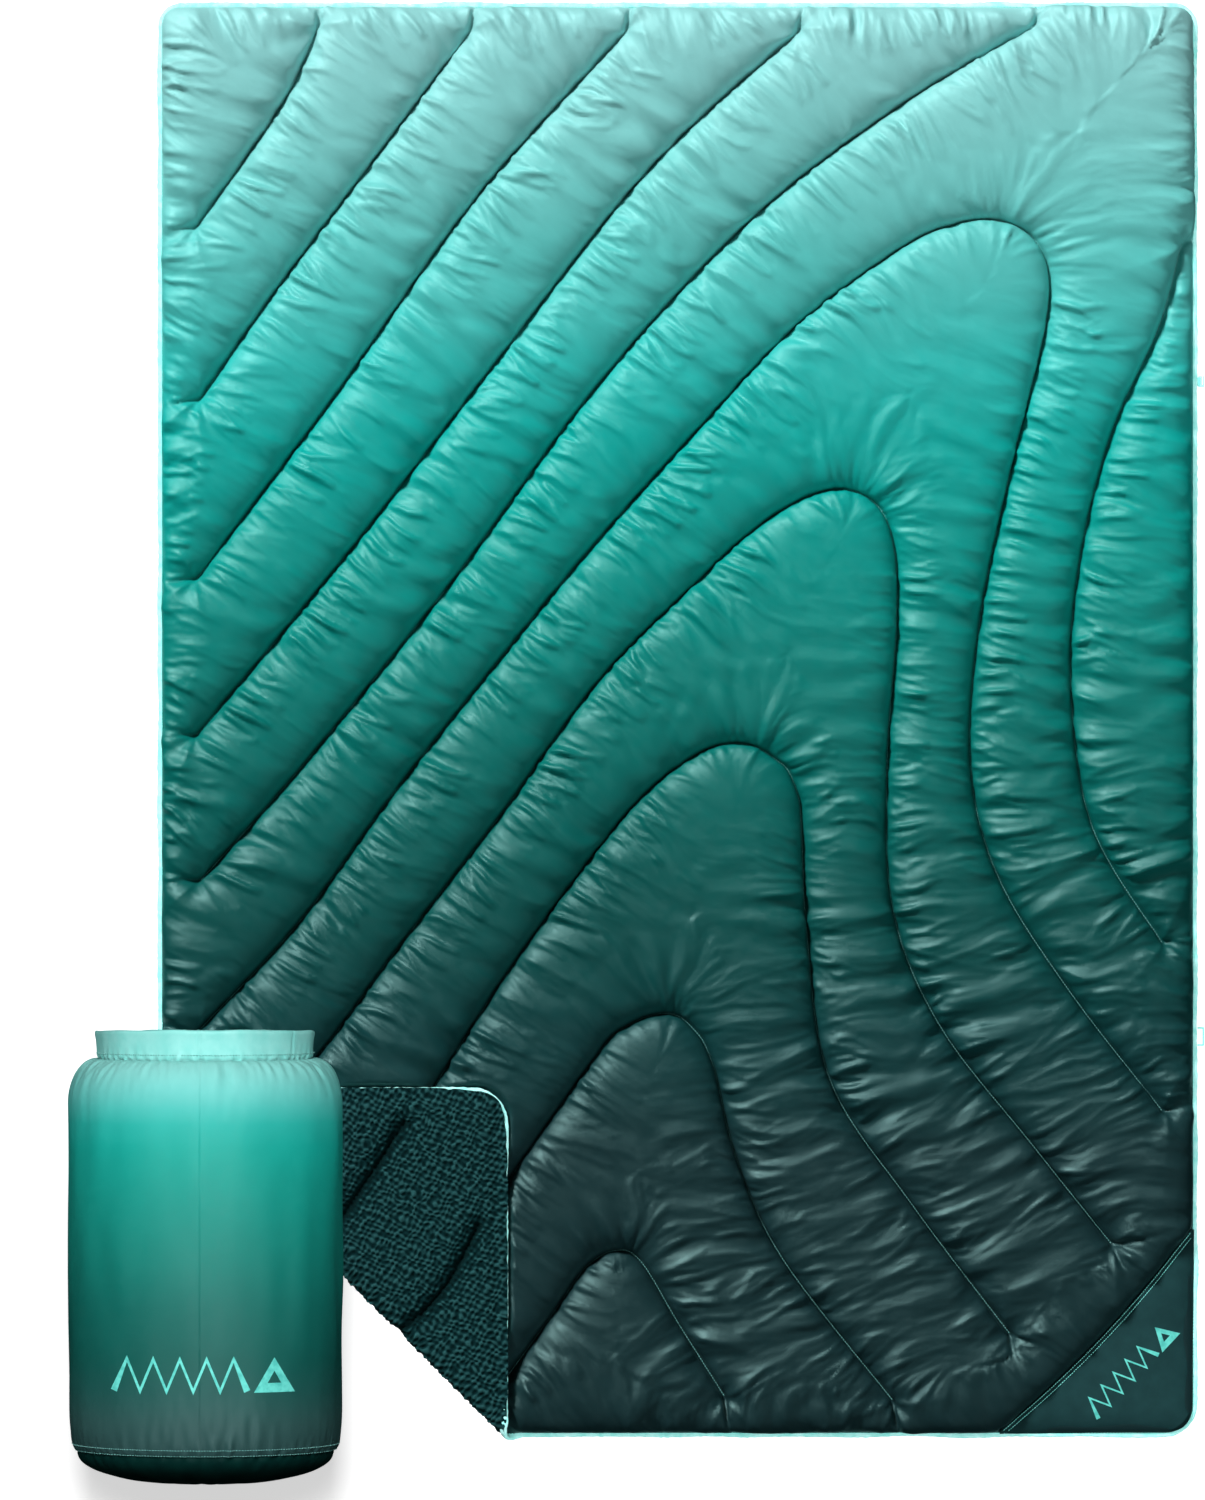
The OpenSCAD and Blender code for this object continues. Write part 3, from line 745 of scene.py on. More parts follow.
def make_patch(puffed):
    """The plain corner patch, a smooth sheet whose inner edge is turned under"""
    columns, rows = 150, 90
    edge = outline(BINDING_W - 0.003, 0.002)
    edge = np.vstack([edge, edge[1:]])
    inner = ARC[(ARC[:, 0] < HALF_W - BINDING_W) & (ARC[:, 1] > BINDING_W - HALF_L)]
    start = np.argmin(np.linalg.norm(edge[:len(edge) // 2] - inner[0], axis=1))
    stop = start + np.argmin(np.linalg.norm(edge[start:] - inner[-1], axis=1))
    if stop - start > len(edge) // 2:
        start, stop = stop, start
    outer = edge[start:stop + 1]
    t = np.linspace(0, 1, columns)

    def spread(path):
        run = np.r_[0, np.cumsum(np.linalg.norm(np.diff(path, axis=0), axis=1))]
        return np.stack([np.interp(t * run[-1], run, c) for c in path.T], 1)

    inner, outer = spread(inner), spread(outer)
    s = np.linspace(0, 1, rows) ** 1.3
    place = inner[:, None] * (1 - s[None, :, None]) + outer[:, None] * s[None, :, None]
    depth = np.linalg.norm(place - inner[:, None], axis=2)
    hem = 1 - np.exp(-(depth / 0.0012) ** 2)
    rows_of_thread = 0.0004 * (np.exp(-((depth - 0.0022) / 0.0014) ** 2)
                               + np.exp(-((depth - 0.0070) / 0.0014) ** 2))
    height = patch_height(puffed, place) - PATCH_RISE * (1 - hem) - rows_of_thread
    height = np.where(s[None] > 0.985, np.minimum(height, BINDING_H - 0.0008), height)
    flat = np.concatenate([place, height[..., None]], -1)
    faces = grid_faces(columns, rows)
    made = mesh_object("patch_cloth", flat.reshape(-1, 3), faces[:, ::-1], flat.reshape(-1, 3))
    return made, flat


def patch_threads(flat):
    """Two rows of topstitching along the patch's inner edge"""
    rows = []
    depth = np.linalg.norm(flat[:, :, :2] - flat[:, :1, :2], axis=2)
    for number, distance in enumerate((0.0022, 0.0070), 1):
        path = []
        for column, d in zip(flat, depth):
            if d[-1] > distance + 0.004:
                path.append([np.interp(distance, d, column[:, k]) for k in range(3)])
        path = np.array(path) + [0, 0, 0.0005]
        up = np.tile([0.0, 0.0, 1.0], (len(path), 1))
        rows.append(stitch_row(f"patch_thread_{number}", path, up, 0.0034, 0.0028, 0.0005))
    return rows


def draped_mark(name, node, height_at, lift):
    """A printed mark: the frame's outline, cut fine and laid on the cloth under it"""
    mesh = NODES[node].data
    tops = [face for face in mesh.polygons if face.normal.z > 0.3]
    spots = vertices(node)
    triangles = []
    for face in tops:
        ring = [spots[v] for v in face.vertices]
        triangles += [[ring[0], ring[k], ring[k + 1]] for k in range(1, len(ring) - 1)]
    triangles = np.array(triangles)
    for _ in range(3):
        a, b, c = triangles[:, 0], triangles[:, 1], triangles[:, 2]
        ab, bc, ca = (a + b) / 2, (b + c) / 2, (c + a) / 2
        triangles = np.concatenate([np.stack(t, 1) for t in
                                    ((a, ab, ca), (ab, b, bc), (ca, bc, c), (ab, bc, ca))])
    points = triangles.reshape(-1, 3)
    points, index = np.unique(np.round(points, 6), axis=0, return_inverse=True)
    points[:, 2] = height_at(points[:, :2]) + lift
    faces = index.reshape(-1, 3)
    kept = (faces[:, 0] != faces[:, 1]) & (faces[:, 1] != faces[:, 2]) & (faces[:, 2] != faces[:, 0])
    return mesh_object(name, points, faces[kept])


# ---------------------------------------------------------------- the stuff sack

SHOULDER_H = 0.058
SWELL_H = 0.056
SWELL = 0.012
BASE_R = SACK_R - SWELL
BASE_POWER = 2 / 2.35


def body_profile():
    """The sack's radius against its height, from the base seam to the collar"""
    a = np.radians(np.linspace(0, 90, 12))
    swell = np.stack([BASE_R + SWELL * np.sin(a), BASE_H + SWELL_H * (1 - np.cos(a))], 1)
    a = np.radians(np.linspace(0, 90, 24))
    shoulder = np.stack([COLLAR_R + (SACK_R - COLLAR_R) * np.cos(a),
                         BODY_TOP - SHOULDER_H + SHOULDER_H * np.sin(a)], 1)
    return np.vstack([swell, shoulder])


def base_profile():
    """The base panel's radius against its height, from its middle to the seam"""
    a = np.radians(np.linspace(0.5, 90, 60))
    return np.stack([BASE_R * np.sin(a) ** BASE_POWER, BASE_H * (1 - np.cos(a) ** BASE_POWER)], 1)


def rest_height(x, y):
    """The height of what the sack lies on: the floor, the blanket's edge and the folded corner"""
    ease = 0.016
    flat = np.minimum(x + HALF_W, (x + y - FOLD_SUM) / ROOT2 + FOLD_Z)
    flap = np.minimum(np.minimum(FLAP_RIGHT - x, FLAP_TOP - y), flat)
    flat_h = (FACE_TOP + 0.0005) * step_up(flat, -ease, 0)
    return np.maximum(flat_h, (FLAP_Z + 0.0042) * step_up(flap, -ease, 0))


def on_sack(turn, radius, height):
    """Points round the sack's axis, pressed up where something lies under them"""
    x = SACK_X + radius * np.sin(turn)
    y = SACK_Y + height
    z = SACK_Z + radius * np.cos(turn)
    support = rest_height(x, y) + 0.0006
    ease = 0.004
    low = support + ease * np.logaddexp(0, (z - support) / ease) * (z < support + 6 * ease)
    z = np.where(z < support + 6 * ease, low, z)
    return np.stack([x, y, z], -1)


def round_noise(rng, shape, spans, waves, length):
    """Noise round the sack, with a number of waves round it and a length along it"""
    fx = np.abs(np.fft.fftfreq(shape[0], 1 / shape[0]))[:, None]
    fy = np.fft.rfftfreq(shape[1], spans / shape[1])[None]
    response = np.exp(-np.log((fx + 1e-6) / waves) ** 2 / (2 * 0.35 ** 2)) * np.exp(-(fy * length) ** 2)
    wave = np.fft.irfft2(np.fft.rfft2(rng.standard_normal(shape)) * response, s=shape)
    return wave / wave.std()


class Sack:
    """The sack's body: its radius with every gather in it, at any turn and height"""

    def __init__(self):
        rng = np.random.default_rng(33)
        self.profile = evenly(body_profile(), 0.003)
        self.rounds = 420
        radius, height = self.profile.T
        self.height = height
        shape = (self.rounds, 2 * len(height))
        length = 0.003 * shape[1]

        def noise(waves, reach):
            return round_noise(rng, shape, length, waves, reach)[:, :len(height)]

        below_collar = (height.max() - height)[None]
        over_base = (height - BASE_H)[None]
        turn = 2 * math.pi * np.arange(self.rounds) / self.rounds
        patchy = np.clip(0.8 + 0.5 * noise(5, 0.2), 0.2, 2)
        top = (0.0014 * np.exp(-below_collar / 0.012) * noise(62, 0.04)
               + 0.0006 * np.exp(-below_collar / 0.032) * noise(34, 0.08) * patchy ** 2)
        facing = 0.35 + 1.2 * np.exp(-(np.angle(np.exp(1j * (turn - 0.05))) / 0.42) ** 2)
        foot = (0.0010 * np.exp(-over_base / 0.010) * noise(70, 0.03)
                + 0.0015 * np.exp(-over_base / 0.024) * noise(46, 0.05) * facing[:, None])
        soft = 0.0009 * noise(4, 0.2) + 0.00035 * noise(14, 0.16)
        fade = np.minimum(step_up(below_collar, 0, 0.05), step_up(over_base, 0, 0.03))
        self.grid = radius[None] + top + foot + soft * fade

    def radius(self, turn, height):
        i = (turn / (2 * math.pi) % 1) * self.rounds
        wrapped = np.vstack([self.grid, self.grid[:1]])
        j = np.interp(height, self.height, np.arange(len(self.height)))
        return sample(wrapped, i, j)

    def at(self, turn, height, lift=0.0):
        return on_sack(turn, self.radius(turn, height) + lift, height)

    def body(self):
        turn = 2 * math.pi * np.arange(self.rounds) / self.rounds
        turn, height = np.meshgrid(turn, self.height, indexing="ij")
        points = on_sack(turn, self.grid, height)
        flat = np.stack([turn * SACK_R, height, np.zeros_like(turn)], -1)
        faces = grid_faces(*turn.shape, wrap_rows=True)
        return mesh_object("sack_cloth", points.reshape(-1, 3), faces, flat.reshape(-1, 3))

    def top_height(self, place):
        """The height of the sack's upper side over places on the floor"""
        height = place[:, 1] - SACK_Y
        radius = np.full(len(place), SACK_R)
        for _ in range(4):
            turn = np.arcsin(np.clip((place[:, 0] - SACK_X) / radius, -0.99, 0.99))
            radius = self.radius(turn, height)
        return SACK_Z + radius * np.cos(turn)


def make_sack_base(sack):
    rng = np.random.default_rng(8)
    profile = evenly(base_profile(), 0.004)
    rounds = 300
    turn = 2 * math.pi * np.arange(rounds) / rounds
    turn, height = np.meshgrid(turn, profile[:, 1], indexing="ij")
    share = profile[:, 0] / BASE_R
    shape = (rounds, 2 * len(profile))
    pucker = round_noise(rng, shape, 0.004 * shape[1], 44, 0.04)[:, :len(profile)]
    waves = round_noise(rng, shape, 0.004 * shape[1], 9, 0.12)[:, :len(profile)]
    radius = profile[None, :, 0] * (1 + 0.003 * share[None] ** 16 * pucker)
    sag = 0.0006 * waves * np.sin(math.pi * share)[None]
    points = on_sack(turn, radius, height)
    points[..., 1] += sag
    points[:, -1] = sack.at(turn[:, -1], np.full(rounds, BASE_H), -0.0006)
    flat = np.stack([turn * SACK_R, height, np.zeros_like(turn)], -1)
    faces = grid_faces(*turn.shape, wrap_rows=True)
    return mesh_object("sack_base_panel", points.reshape(-1, 3), faces, flat.reshape(-1, 3))


def make_collar():
    """The hemmed double cloth round the mouth, over its rim and down inside"""
    rng = np.random.default_rng(14)
    length = SACK_L - BODY_TOP
    knots = np.array([[-0.0045, -0.003], [-0.0022, 0.001], [-0.0004, 0.005], [0.0, 0.014], [0.0008, 0.026],
                      [0.0022, length - 0.004], [0.0015, length - 0.001], [-0.0008, length],
                      [-0.0030, length - 0.002], [-0.0042, length - 0.008], [-0.0046, length - 0.024]])
    profile = smooth(knots, 0.0015)
    rounds = 360
    turn = 2 * math.pi * np.arange(rounds) / rounds
    turn, height = np.meshgrid(turn, profile[:, 1], indexing="ij")
    shape = (rounds, 2 * len(profile))
    span = 0.0015 * shape[1]
    fine = round_noise(rng, shape, span, 52, 0.03)[:, :len(profile)]
    wide = round_noise(rng, shape, span, 11, 0.2)[:, :len(profile)]
    foot = np.exp(-np.abs(profile[:, 1] - 0.001) / 0.006)[None]
    radius = COLLAR_R + profile[None, :, 0] + 0.0011 * foot * fine + 0.0006 * wide
    seam = [math.radians(-3), math.radians(55)]
    sag = (1 - np.cos(turn)) / 2
    height = height - 0.009 * sag * step_up(height, 0, 0.03)
    for at in seam:
        radius = radius - 0.0011 * np.exp(-(np.angle(np.exp(1j * (turn - at))) / 0.011) ** 2)
    points = np.stack([SACK_X + radius * np.sin(turn), SACK_Y + BODY_TOP + height + 0.0003 * wide,
                       SACK_Z + radius * np.cos(turn)], -1)
    flat = np.stack([turn * SACK_R, height, np.zeros_like(turn)], -1)
    faces = grid_faces(*turn.shape, wrap_rows=True)
    return mesh_object("collar_hem", points.reshape(-1, 3), faces, flat.reshape(-1, 3))


def make_dust_flap():
    """The thin cloth inside the mouth, drawn together in pleats"""
    rounds, rings = 320, 60
    rng = np.random.default_rng(3)
    share = np.linspace(1, 0.03, rings)
    turn = 2 * math.pi * np.arange(rounds) / rounds
    turn, share = np.meshgrid(turn, share, indexing="ij")
    shape = (rounds, 2 * rings)
    pleats = round_noise(rng, shape, 1.0, 26, 0.9)[:, :rings]
    radius = (COLLAR_R - 0.0052) * share
    depth = 0.012 - 0.016 * np.sin(math.pi * share) * 0.5 + 0.010 * (1 - share) ** 3
    ruck = 0.0028 * pleats * share ** 0.6 * step_up(1 - share, 0.0, 0.25)
    y = SACK_Y + SACK_L - depth + ruck - 0.009 * share * (1 - np.cos(turn)) / 2
    points = np.stack([SACK_X + radius * np.sin(turn), y, SACK_Z + radius * np.cos(turn)], -1)
    flat = np.stack([turn * SACK_R, share, np.zeros_like(turn)], -1)
    faces = grid_faces(*turn.shape, wrap_rows=True)
    return mesh_object("dust_flap", points.reshape(-1, 3), faces, flat.reshape(-1, 3))


def make_side_seam(sack):
    """A flat felled seam along the sack's side"""
    middle = math.radians(-90 - 15)
    low, high = BASE_H + 0.034, BODY_TOP - SHOULDER_H
    height = np.linspace(low, high, 160)
    across = np.linspace(-1, 1, 9)
    turn, height = np.meshgrid(across * 0.004 / SACK_R, height, indexing="ij")
    rise = 0.0011 * (1 - np.abs(across) ** 4)[:, None] + 0.0001
    dimple = 0.0002 * np.cos(2 * math.pi * height / 0.007)
    points = sack.at(middle + turn, height, rise - dimple)
    flat = np.stack([turn * SACK_R, height, np.zeros_like(turn)], -1)
    faces = grid_faces(*turn.shape)
    return mesh_object("side_seam_fell", points.reshape(-1, 3), faces, flat.reshape(-1, 3))


def sack_ring_threads(name, surface, height, lift, pitch=0.0038):
    turn = np.linspace(0, 2 * math.pi, 700)
    heights = np.full(700, height)
    path = surface(turn, heights, lift)
    up = path - surface(turn, heights, lift - 0.01)
    return stitch_row(name, path, up, pitch, 0.0029, 0.0006)


# ---------------------------------------------------------------- materials

def linear(*srgb):
    """An 8-bit screen colour as the light it stands for"""
    share = [c / 255 for c in srgb]
    return tuple(c / 12.92 if c <= 0.04045 else ((c + 0.055) / 1.055) ** 2.4 for c in share) + (1.0,)


class Paint:
    """A material's node tree, with short ways to add nodes to it"""

    def __init__(self, name, roughness=0.5, **sockets):
        self.material = bpy.data.materials.new(name)
        self.material.use_nodes = True
        self.tree = self.material.node_tree
        self.shader = self.tree.nodes["Principled BSDF"]
        self.shader.inputs["Roughness"].default_value = roughness
        self.shader.inputs["Specular Tint"].default_value = (0.55, 0.95, 0.92, 1)
        for socket, value in sockets.items():
            self.shader.inputs[socket.replace("_", " ")].default_value = value

    def node(self, kind, **inputs):
        made = self.tree.nodes.new("ShaderNode" + kind)
        for name, value in inputs.items():
            self.put(made.inputs[name.replace("_", " ")], value)
        return made

    def put(self, socket, value):
        if isinstance(value, bpy.types.NodeSocket):
            self.tree.links.new(value, socket)
        else:
            socket.default_value = value

    def place(self):
        """The point's place on the flat cloth"""
        made = self.node("Attribute")
        made.attribute_name = "flat"
        return made.outputs["Vector"]

    def object_place(self):
        return self.node("TexCoord").outputs["Object"]

    def math(self, operation, a, b=0.0, clamp=False):
        made = self.node("Math")
        made.operation = operation
        made.use_clamp = clamp
        self.put(made.inputs[0], a)
        self.put(made.inputs[1], b)
        return made.outputs[0]

    def part(self, vector, axis):
        return self.node("SeparateXYZ", Vector=vector).outputs[axis]

    def share(self, value, low, high):
        made = self.node("MapRange", Value=value)
        made.inputs["From Min"].default_value = low
        made.inputs["From Max"].default_value = high
        return made.outputs[0]

    def ramp(self, factor, stops):
        made = self.node("ValToRGB", Fac=factor)
        band_ = made.color_ramp
        while len(band_.elements) < len(stops):
            band_.elements.new(0.5)
        for element, (position, colour) in zip(band_.elements, stops):
            element.position = position
            element.color = colour
        return made.outputs["Color"]

    def noise(self, vector, scale, detail=2.0):
        made = self.node("TexNoise", Vector=vector, Scale=scale, Detail=detail)
        return made.outputs["Fac"]

    def weave(self, vector, threads):
        """Fine warp and weft, as one height"""
        waves = []
        for direction in ("X", "Y"):
            made = self.node("TexWave", Vector=vector, Scale=threads, Distortion=0.6)
            made.inputs["Detail"].default_value = 1.0
            made.bands_direction = direction
            waves.append(made.outputs["Fac"])
        return self.math("MULTIPLY", waves[0], waves[1])

    def mix(self, factor, a, b, blend="MIX"):
        made = self.node("Mix")
        made.data_type = "RGBA"
        made.blend_type = blend
        self.put(made.inputs["Factor"], factor)
        self.put(made.inputs["A"] if False else made.inputs[6], a)
        self.put(made.inputs[7], b)
        return made.outputs[2]

    def bump(self, height, distance, strength=1.0):
        made = self.node("Bump", Height=height, Distance=distance, Strength=strength)
        self.put(self.shader.inputs["Normal"], made.outputs["Normal"])

    def colour(self, value):
        self.put(self.shader.inputs["Base Color"], value)

    def roughness(self, value):
        self.put(self.shader.inputs["Roughness"], value)


FACE_STOPS = (
    (0.00, linear(22, 47, 50)), (0.20, linear(22, 49, 52)), (0.28, linear(15, 60, 61)),
    (0.37, linear(6, 79, 75)), (0.45, linear(1, 101, 94)), (0.53, linear(1, 122, 113)),
    (0.62, linear(1, 147, 137)), (0.70, linear(5, 163, 154)), (0.75, linear(42, 177, 170)),
    (0.83, linear(88, 188, 183)), (0.91, linear(122, 198, 195)), (1.00, linear(144, 206, 205)),
)
SACK_STOPS = (
    (0.00, linear(44, 78, 78)), (0.08, linear(44, 84, 82)), (0.16, linear(24, 86, 81)),
    (0.24, linear(4, 90, 82)), (0.38, linear(1, 106, 96)), (0.54, linear(1, 131, 118)),
    (0.70, linear(1, 152, 138)), (0.78, linear(3, 164, 150)), (0.84, linear(32, 176, 164)),
    (0.88, linear(70, 188, 179)), (0.93, linear(104, 198, 191)), (1.00, linear(140, 211, 205)),
)


def face_cloth():
    """Fine nylon, pale at the head end and nearly black at the foot"""
    paint = Paint("face_cloth", 0.42, Specular_IOR_Level=0.6)
    place = paint.place()
    wander = paint.noise(place, 5.0, 3.0)
    along = paint.share(paint.part(place, "Y"), -HALF_L, HALF_L)
    along = paint.math("ADD", along, paint.math("MULTIPLY", paint.math("SUBTRACT", wander, 0.5), 0.03))
    colour = paint.ramp(along, FACE_STOPS)
    mottle = paint.share(paint.noise(place, 38.0, 4.0), 0.3, 0.7)
    colour = paint.mix(0.10, colour, paint.ramp(mottle, ((0, (0.4, 0.4, 0.4, 1)), (1, (1, 1, 1, 1)))), "MULTIPLY")
    paint.colour(colour)
    paint.roughness(paint.share(paint.noise(place, 60.0, 3.0), -0.7, 2.3))
    crease = paint.math("MULTIPLY", paint.noise(place, 160.0, 5.0), 2.0)
    paint.bump(paint.math("ADD", crease, paint.weave(place, 420.0)), 0.00022, 0.5)
    return paint.material


def fleece():
    paint = Paint("fleece", 0.95, Sheen_Weight=0.12, Sheen_Roughness=0.4, Specular_IOR_Level=0.1)
    paint.shader.inputs["Sheen Tint"].default_value = linear(70, 160, 152)
    place = paint.place()
    # Painted shade: the bobble tips are coloured lighter and the crevices and quilting grooves darker, down to near
    # black, with random fuzz mixed in.
    painted_tip_and_crevice_shade = paint.share(paint.part(place, "Z"), 0.0, 1.0)
    fuzz = paint.noise(place, 900.0, 5.0)
    painted_shade_tone = paint.math("ADD", paint.math("MULTIPLY", painted_tip_and_crevice_shade, 0.6), paint.math("MULTIPLY", fuzz, 0.5))
    paint.colour(paint.ramp(painted_shade_tone, ((0.15, linear(0, 12, 14)), (0.58, linear(8, 44, 47)), (1.0, linear(56, 112, 114)))))
    paint.bump(paint.math("ADD", fuzz, paint.noise(place, 2600.0, 2.0)), 0.0009, 0.9)
    return paint.material


def tape():
    paint = Paint("binding_tape", 0.55, Sheen_Weight=0.15)
    place = paint.place()
    worn = paint.share(paint.noise(place, 90.0, 4.0), 0.35, 0.65)
    paint.colour(paint.ramp(worn, ((0.0, linear(138, 230, 222)), (1.0, linear(182, 246, 242)))))
    paint.bump(paint.weave(place, 620.0), 0.0002, 0.6)
    return paint.material


def plain_cloth(name, dark, light, roughness, threads=450.0, gloss=0.4):
    paint = Paint(name, roughness, Specular_IOR_Level=gloss)
    place = paint.place()
    worn = paint.share(paint.noise(place, 45.0, 4.0), 0.3, 0.7)
    paint.colour(paint.ramp(worn, ((0.0, dark), (1.0, light))))
    paint.bump(paint.math("ADD", paint.weave(place, threads), paint.noise(place, 220.0, 4.0)), 0.0002, 0.6)
    return paint.material


def sack_cloth():
    paint = Paint("sack_cloth", 0.5, Specular_IOR_Level=0.5, Specular_Tint=(0.75, 1, 1, 1))
    place = paint.place()
    along = paint.share(paint.part(place, "Y"), BASE_H, BODY_TOP)
    colour = paint.ramp(along, SACK_STOPS)
    mottle = paint.share(paint.noise(place, 30.0, 4.0), 0.3, 0.7)
    paint.colour(paint.mix(0.08, colour, paint.ramp(mottle, ((0, (0.4, 0.4, 0.4, 1)), (1, (1, 1, 1, 1)))), "MULTIPLY"))
    paint.roughness(paint.share(paint.noise(place, 70.0, 3.0), -1.3, 2.3))
    paint.bump(paint.math("ADD", paint.weave(place, 300.0), paint.noise(place, 140.0, 4.0)), 0.0003, 0.6)
    return paint.material


def thread(name, dark, light):
    paint = Paint(name, 0.6, Sheen_Weight=0.2)
    place = paint.object_place()
    twist = paint.share(paint.noise(place, 700.0, 2.0), 0.35, 0.65)
    paint.colour(paint.ramp(twist, ((0.0, dark), (1.0, light))))
    paint.bump(twist, 0.0002, 0.7)
    return paint.material


def ink():
    paint = Paint("printed_mark", 0.45)
    place = paint.object_place()
    worn = paint.share(paint.noise(place, 120.0, 5.0), 0.35, 0.6)
    paint.colour(paint.ramp(worn, ((0.0, linear(82, 196, 186)), (1.0, linear(108, 224, 212)))))
    paint.bump(paint.noise(place, 900.0, 2.0), 0.0001, 0.4)
    return paint.material


def moulded(name, dark, light, roughness, grain):
    paint = Paint(name, roughness)
    place = paint.object_place()
    speck = paint.share(paint.noise(place, grain, 3.0), 0.35, 0.65)
    paint.colour(paint.ramp(speck, ((0.0, dark), (1.0, light))))
    paint.bump(speck, 0.0001, 0.4)
    return paint.material


PALE_THREAD = linear(60, 150, 143), linear(104, 198, 190)
MATERIALS = {
    "face_cloth": face_cloth(),
    "fleece": fleece(),
    "binding_tape": tape(),
    "quilting_thread": thread("quilting_thread", linear(74, 146, 141), linear(128, 196, 190)),
    "edge_thread": thread("edge_thread", linear(90, 205, 195), linear(140, 232, 224)),
    "patch_cloth": plain_cloth("patch_cloth", linear(24, 56, 58), linear(30, 66, 68), 0.6, gloss=0.15),
    "print": ink(),
    "tab_webbing": moulded("tab_webbing", linear(96, 206, 196), linear(150, 235, 228), 0.7, 1400.0),
    "clip_plastic": moulded("clip_plastic", linear(150, 222, 228), linear(176, 236, 240), 0.3, 500.0),
    "loop_cord": moulded("loop_cord", linear(104, 212, 202), linear(150, 238, 230), 0.65, 1600.0),
    "sack_cloth": sack_cloth(),
    "sack_base_cloth": plain_cloth("sack_base_cloth", linear(1, 32, 30), linear(3, 42, 38), 0.6, 300.0, 0.12),
    "sack_collar_cloth": plain_cloth("sack_collar_cloth", linear(126, 209, 202), linear(144, 217, 211), 0.42, 300.0, 0.6),
}


def finish_piece(piece, body, slot, *nodes):
    """Gives a piece its material and its body, and hides the nodes it stands for"""
    piece.data.materials.clear()
    piece.data.materials.append(MATERIALS[slot])
    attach(piece, body)
    if nodes:
        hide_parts(*nodes)
    return piece


def repaint(node, slot):
    for holder in NODES[node].material_slots:
        holder.material = MATERIALS[slot]


# ---------------------------------------------------------------- camera, lights, floor

def look_at(made, spot):
    made.rotation_euler = (Vector(spot) - made.location).to_track_quat("-Z", "Y").to_euler()


def make_camera():
    data = bpy.data.cameras.new("camera")
    data.lens = 262.5
    data.sensor_width = 36
    data.clip_end = 60
    camera = bpy.data.objects.new("camera", data)
    camera.location = (-0.096, -0.0384, 14.0)
    bpy.context.scene.collection.objects.link(camera)
    bpy.context.scene.camera = camera


def sun(name, towards, strength, softness):
    data = bpy.data.lights.new(name, "SUN")
    data.energy = strength
    data.angle = math.radians(softness)
    made = bpy.data.objects.new(name, data)
    made.location = Vector(towards) * 4
    bpy.context.scene.collection.objects.link(made)
    look_at(made, (0, 0, 0))
    return made


def soft_box(name, place, aim, size, power):
    data = bpy.data.lights.new(name, "AREA")
    data.shape = "RECTANGLE"
    data.size, data.size_y = size
    data.energy = power
    made = bpy.data.objects.new(name, data)
    made.location = place
    made.visible_camera = False
    bpy.context.scene.collection.objects.link(made)
    look_at(made, aim)
    return made


def only_on(light, name, lit, casting=None):
    """Keeps a light, and the shadows it casts, to some of the pieces"""
    receivers, blockers = bpy.data.collections.new(name), bpy.data.collections.new(name + "_casting")
    for piece in lit:
        receivers.objects.link(piece)
    for piece in casting or lit:
        blockers.objects.link(piece)
    light.light_linking.receiver_collection = receivers
    light.light_linking.blocker_collection = blockers


def make_stage():
    """A white sweep, lit a little from below as cut-out photographs are"""
    half = 12.0
    corner = np.array([[-half, -half, 0], [half, -half, 0], [half, half, 0], [-half, half, 0]])
    floor = mesh_object("floor", corner, np.array([[0, 1, 2, 3]]), soft=False)
    floor.location.z = -0.0006
    paint = Paint("floor", 0.95, Specular_IOR_Level=0.1)
    paper = paint.noise(paint.object_place(), 3.0, 2.0)
    paint.colour(paint.ramp(paper, ((0.0, (0.90, 0.90, 0.90, 1)), (1.0, (0.93, 0.93, 0.93, 1)))))
    paint.shader.inputs["Emission Color"].default_value = (1, 1, 1, 1)
    paint.shader.inputs["Emission Strength"].default_value = 0.58
    floor.data.materials.append(paint.material)
    floor.visible_diffuse = floor.visible_glossy = False
    return floor


def make_light(floor, blanket_set, edge_set, sack_set):
    """The blanket and its sack are lit apart, so neither throws a long shadow on the other"""
    key = sun("key", (-0.52, 0.70, 0.54), 4.7, 11)
    only_on(key, "lit_by_key", blanket_set)
    fill = sun("fill", (0.6, -0.6, 0.75), 1.0, 60)
    only_on(fill, "lit_by_fill", blanket_set)
    fill.visible_glossy = False
    middle = (SACK_X, SACK_Y + SACK_L / 2, SACK_Z)
    box = soft_box("sack_box", (SACK_X, middle[1] + 0.9, 2.8), middle, (0.9, 1.4), 83)
    only_on(box, "lit_by_box", [*sack_set, floor], sack_set)
    for side, strength in ((-1, 0.7), (1, 0.4)):
        edge = sun("sack_side", (side, 0.2, 0.35), strength, 80)
        only_on(edge, "lit_from_side", sack_set)
        edge.visible_glossy = False
    rim = sun("rim", (0.35, -0.35, 0.9), 2.2, 30)
    only_on(rim, "lit_by_rim", edge_set)
    world = bpy.data.worlds.new("studio")
    world.use_nodes = True
    world.node_tree.nodes["Background"].inputs["Color"].default_value = (1, 1, 1, 1)
    world.node_tree.nodes["Background"].inputs["Strength"].default_value = 0.09
    world.cycles_visibility.glossy = False
    bpy.context.scene.world = world
    bpy.context.scene.view_settings.view_transform = "Standard"


# ---------------------------------------------------------------- putting it together

make_camera()
floor = make_stage()

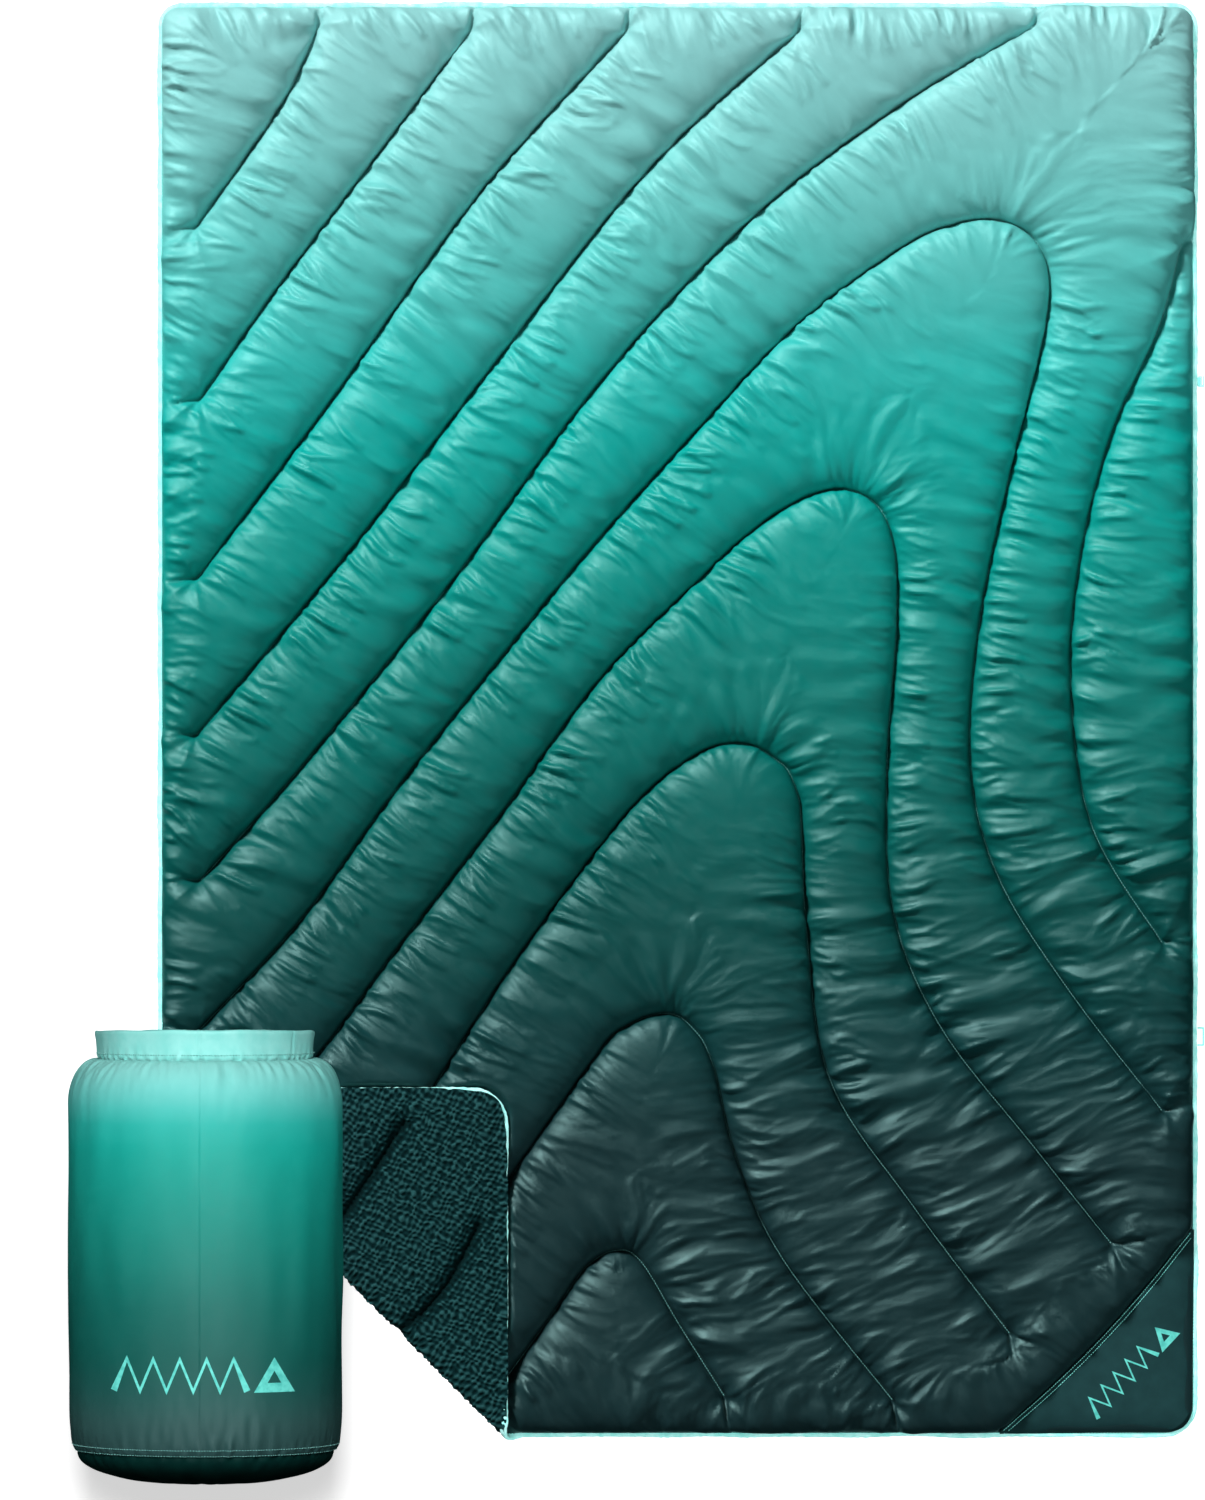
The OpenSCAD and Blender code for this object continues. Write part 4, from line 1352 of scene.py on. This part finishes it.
face, puffed = make_face()
finish_piece(face, "blanket", "face_cloth", "face_shell", "insulation_batt")
fleece_sheet = finish_piece(make_fleece(), "blanket", "fleece", "fleece_backing")
binding = finish_piece(make_binding(), "blanket", "binding_tape", "edge_binding")
binding_row = finish_piece(binding_threads(), "blanket", "edge_thread", "binding_stitch")
quilt_rows = quilt_threads()

patch, patch_flat = make_patch(puffed)
finish_piece(patch, "blanket", "patch_cloth", "corner_patch")
patch_rows = patch_threads(patch_flat)
for row in patch_rows:
    finish_piece(row, "blanket", "edge_thread", "patch_stitch")

patch_print = finish_piece(draped_mark("patch_print", "patch_mark",
                                       lambda place: patch_height(puffed, place), 0.0006),
                           "blanket", "print", "patch_mark")

sack = Sack()
sack_body = finish_piece(sack.body(), "sack", "sack_cloth", "sack_body", "sack_filling")
sack_base = finish_piece(make_sack_base(sack), "sack", "sack_base_cloth", "sack_base")
collar = finish_piece(make_collar(), "sack", "sack_collar_cloth", "sack_collar")
dust_flap = finish_piece(make_dust_flap(), "sack", "sack_cloth", "sack_dust_flap")
side_seam = finish_piece(make_side_seam(sack), "sack", "sack_cloth", "sack_side_seam")
base_rows = [sack_ring_threads(f"base_thread_{n}", sack.at, BASE_H + h, 0.0004)
             for n, h in ((1, 0.0012), (2, 0.0085))]


def on_collar(turn, height, lift):
    return np.stack([SACK_X + (COLLAR_R + lift) * np.sin(turn), SACK_Y + height,
                     SACK_Z + (COLLAR_R + lift) * np.cos(turn)], -1)


collar_row = sack_ring_threads("collar_thread", on_collar, BODY_TOP + 0.007, 0.0008)
for row in base_rows:
    finish_piece(row, "sack", "quilting_thread", "sack_base_stitch")
finish_piece(collar_row, "sack", "quilting_thread", "sack_collar_stitch")
sack_print = finish_piece(draped_mark("sack_print", "sack_mark", sack.top_height, 0.0005),
                          "sack", "print", "sack_mark")

repaint("clip_tab", "tab_webbing")
repaint("cape_clip", "clip_plastic")
repaint("edge_loop", "loop_cord")

edge_set = [binding, binding_row, NODES["clip_tab"], NODES["cape_clip"], NODES["edge_loop"]]
make_light(floor, [face, fleece_sheet, *edge_set, *quilt_rows, patch, *patch_rows, patch_print],
           [*edge_set, *patch_rows],
           [sack_body, sack_base, collar, dust_flap, side_seam, *base_rows, collar_row, sack_print])
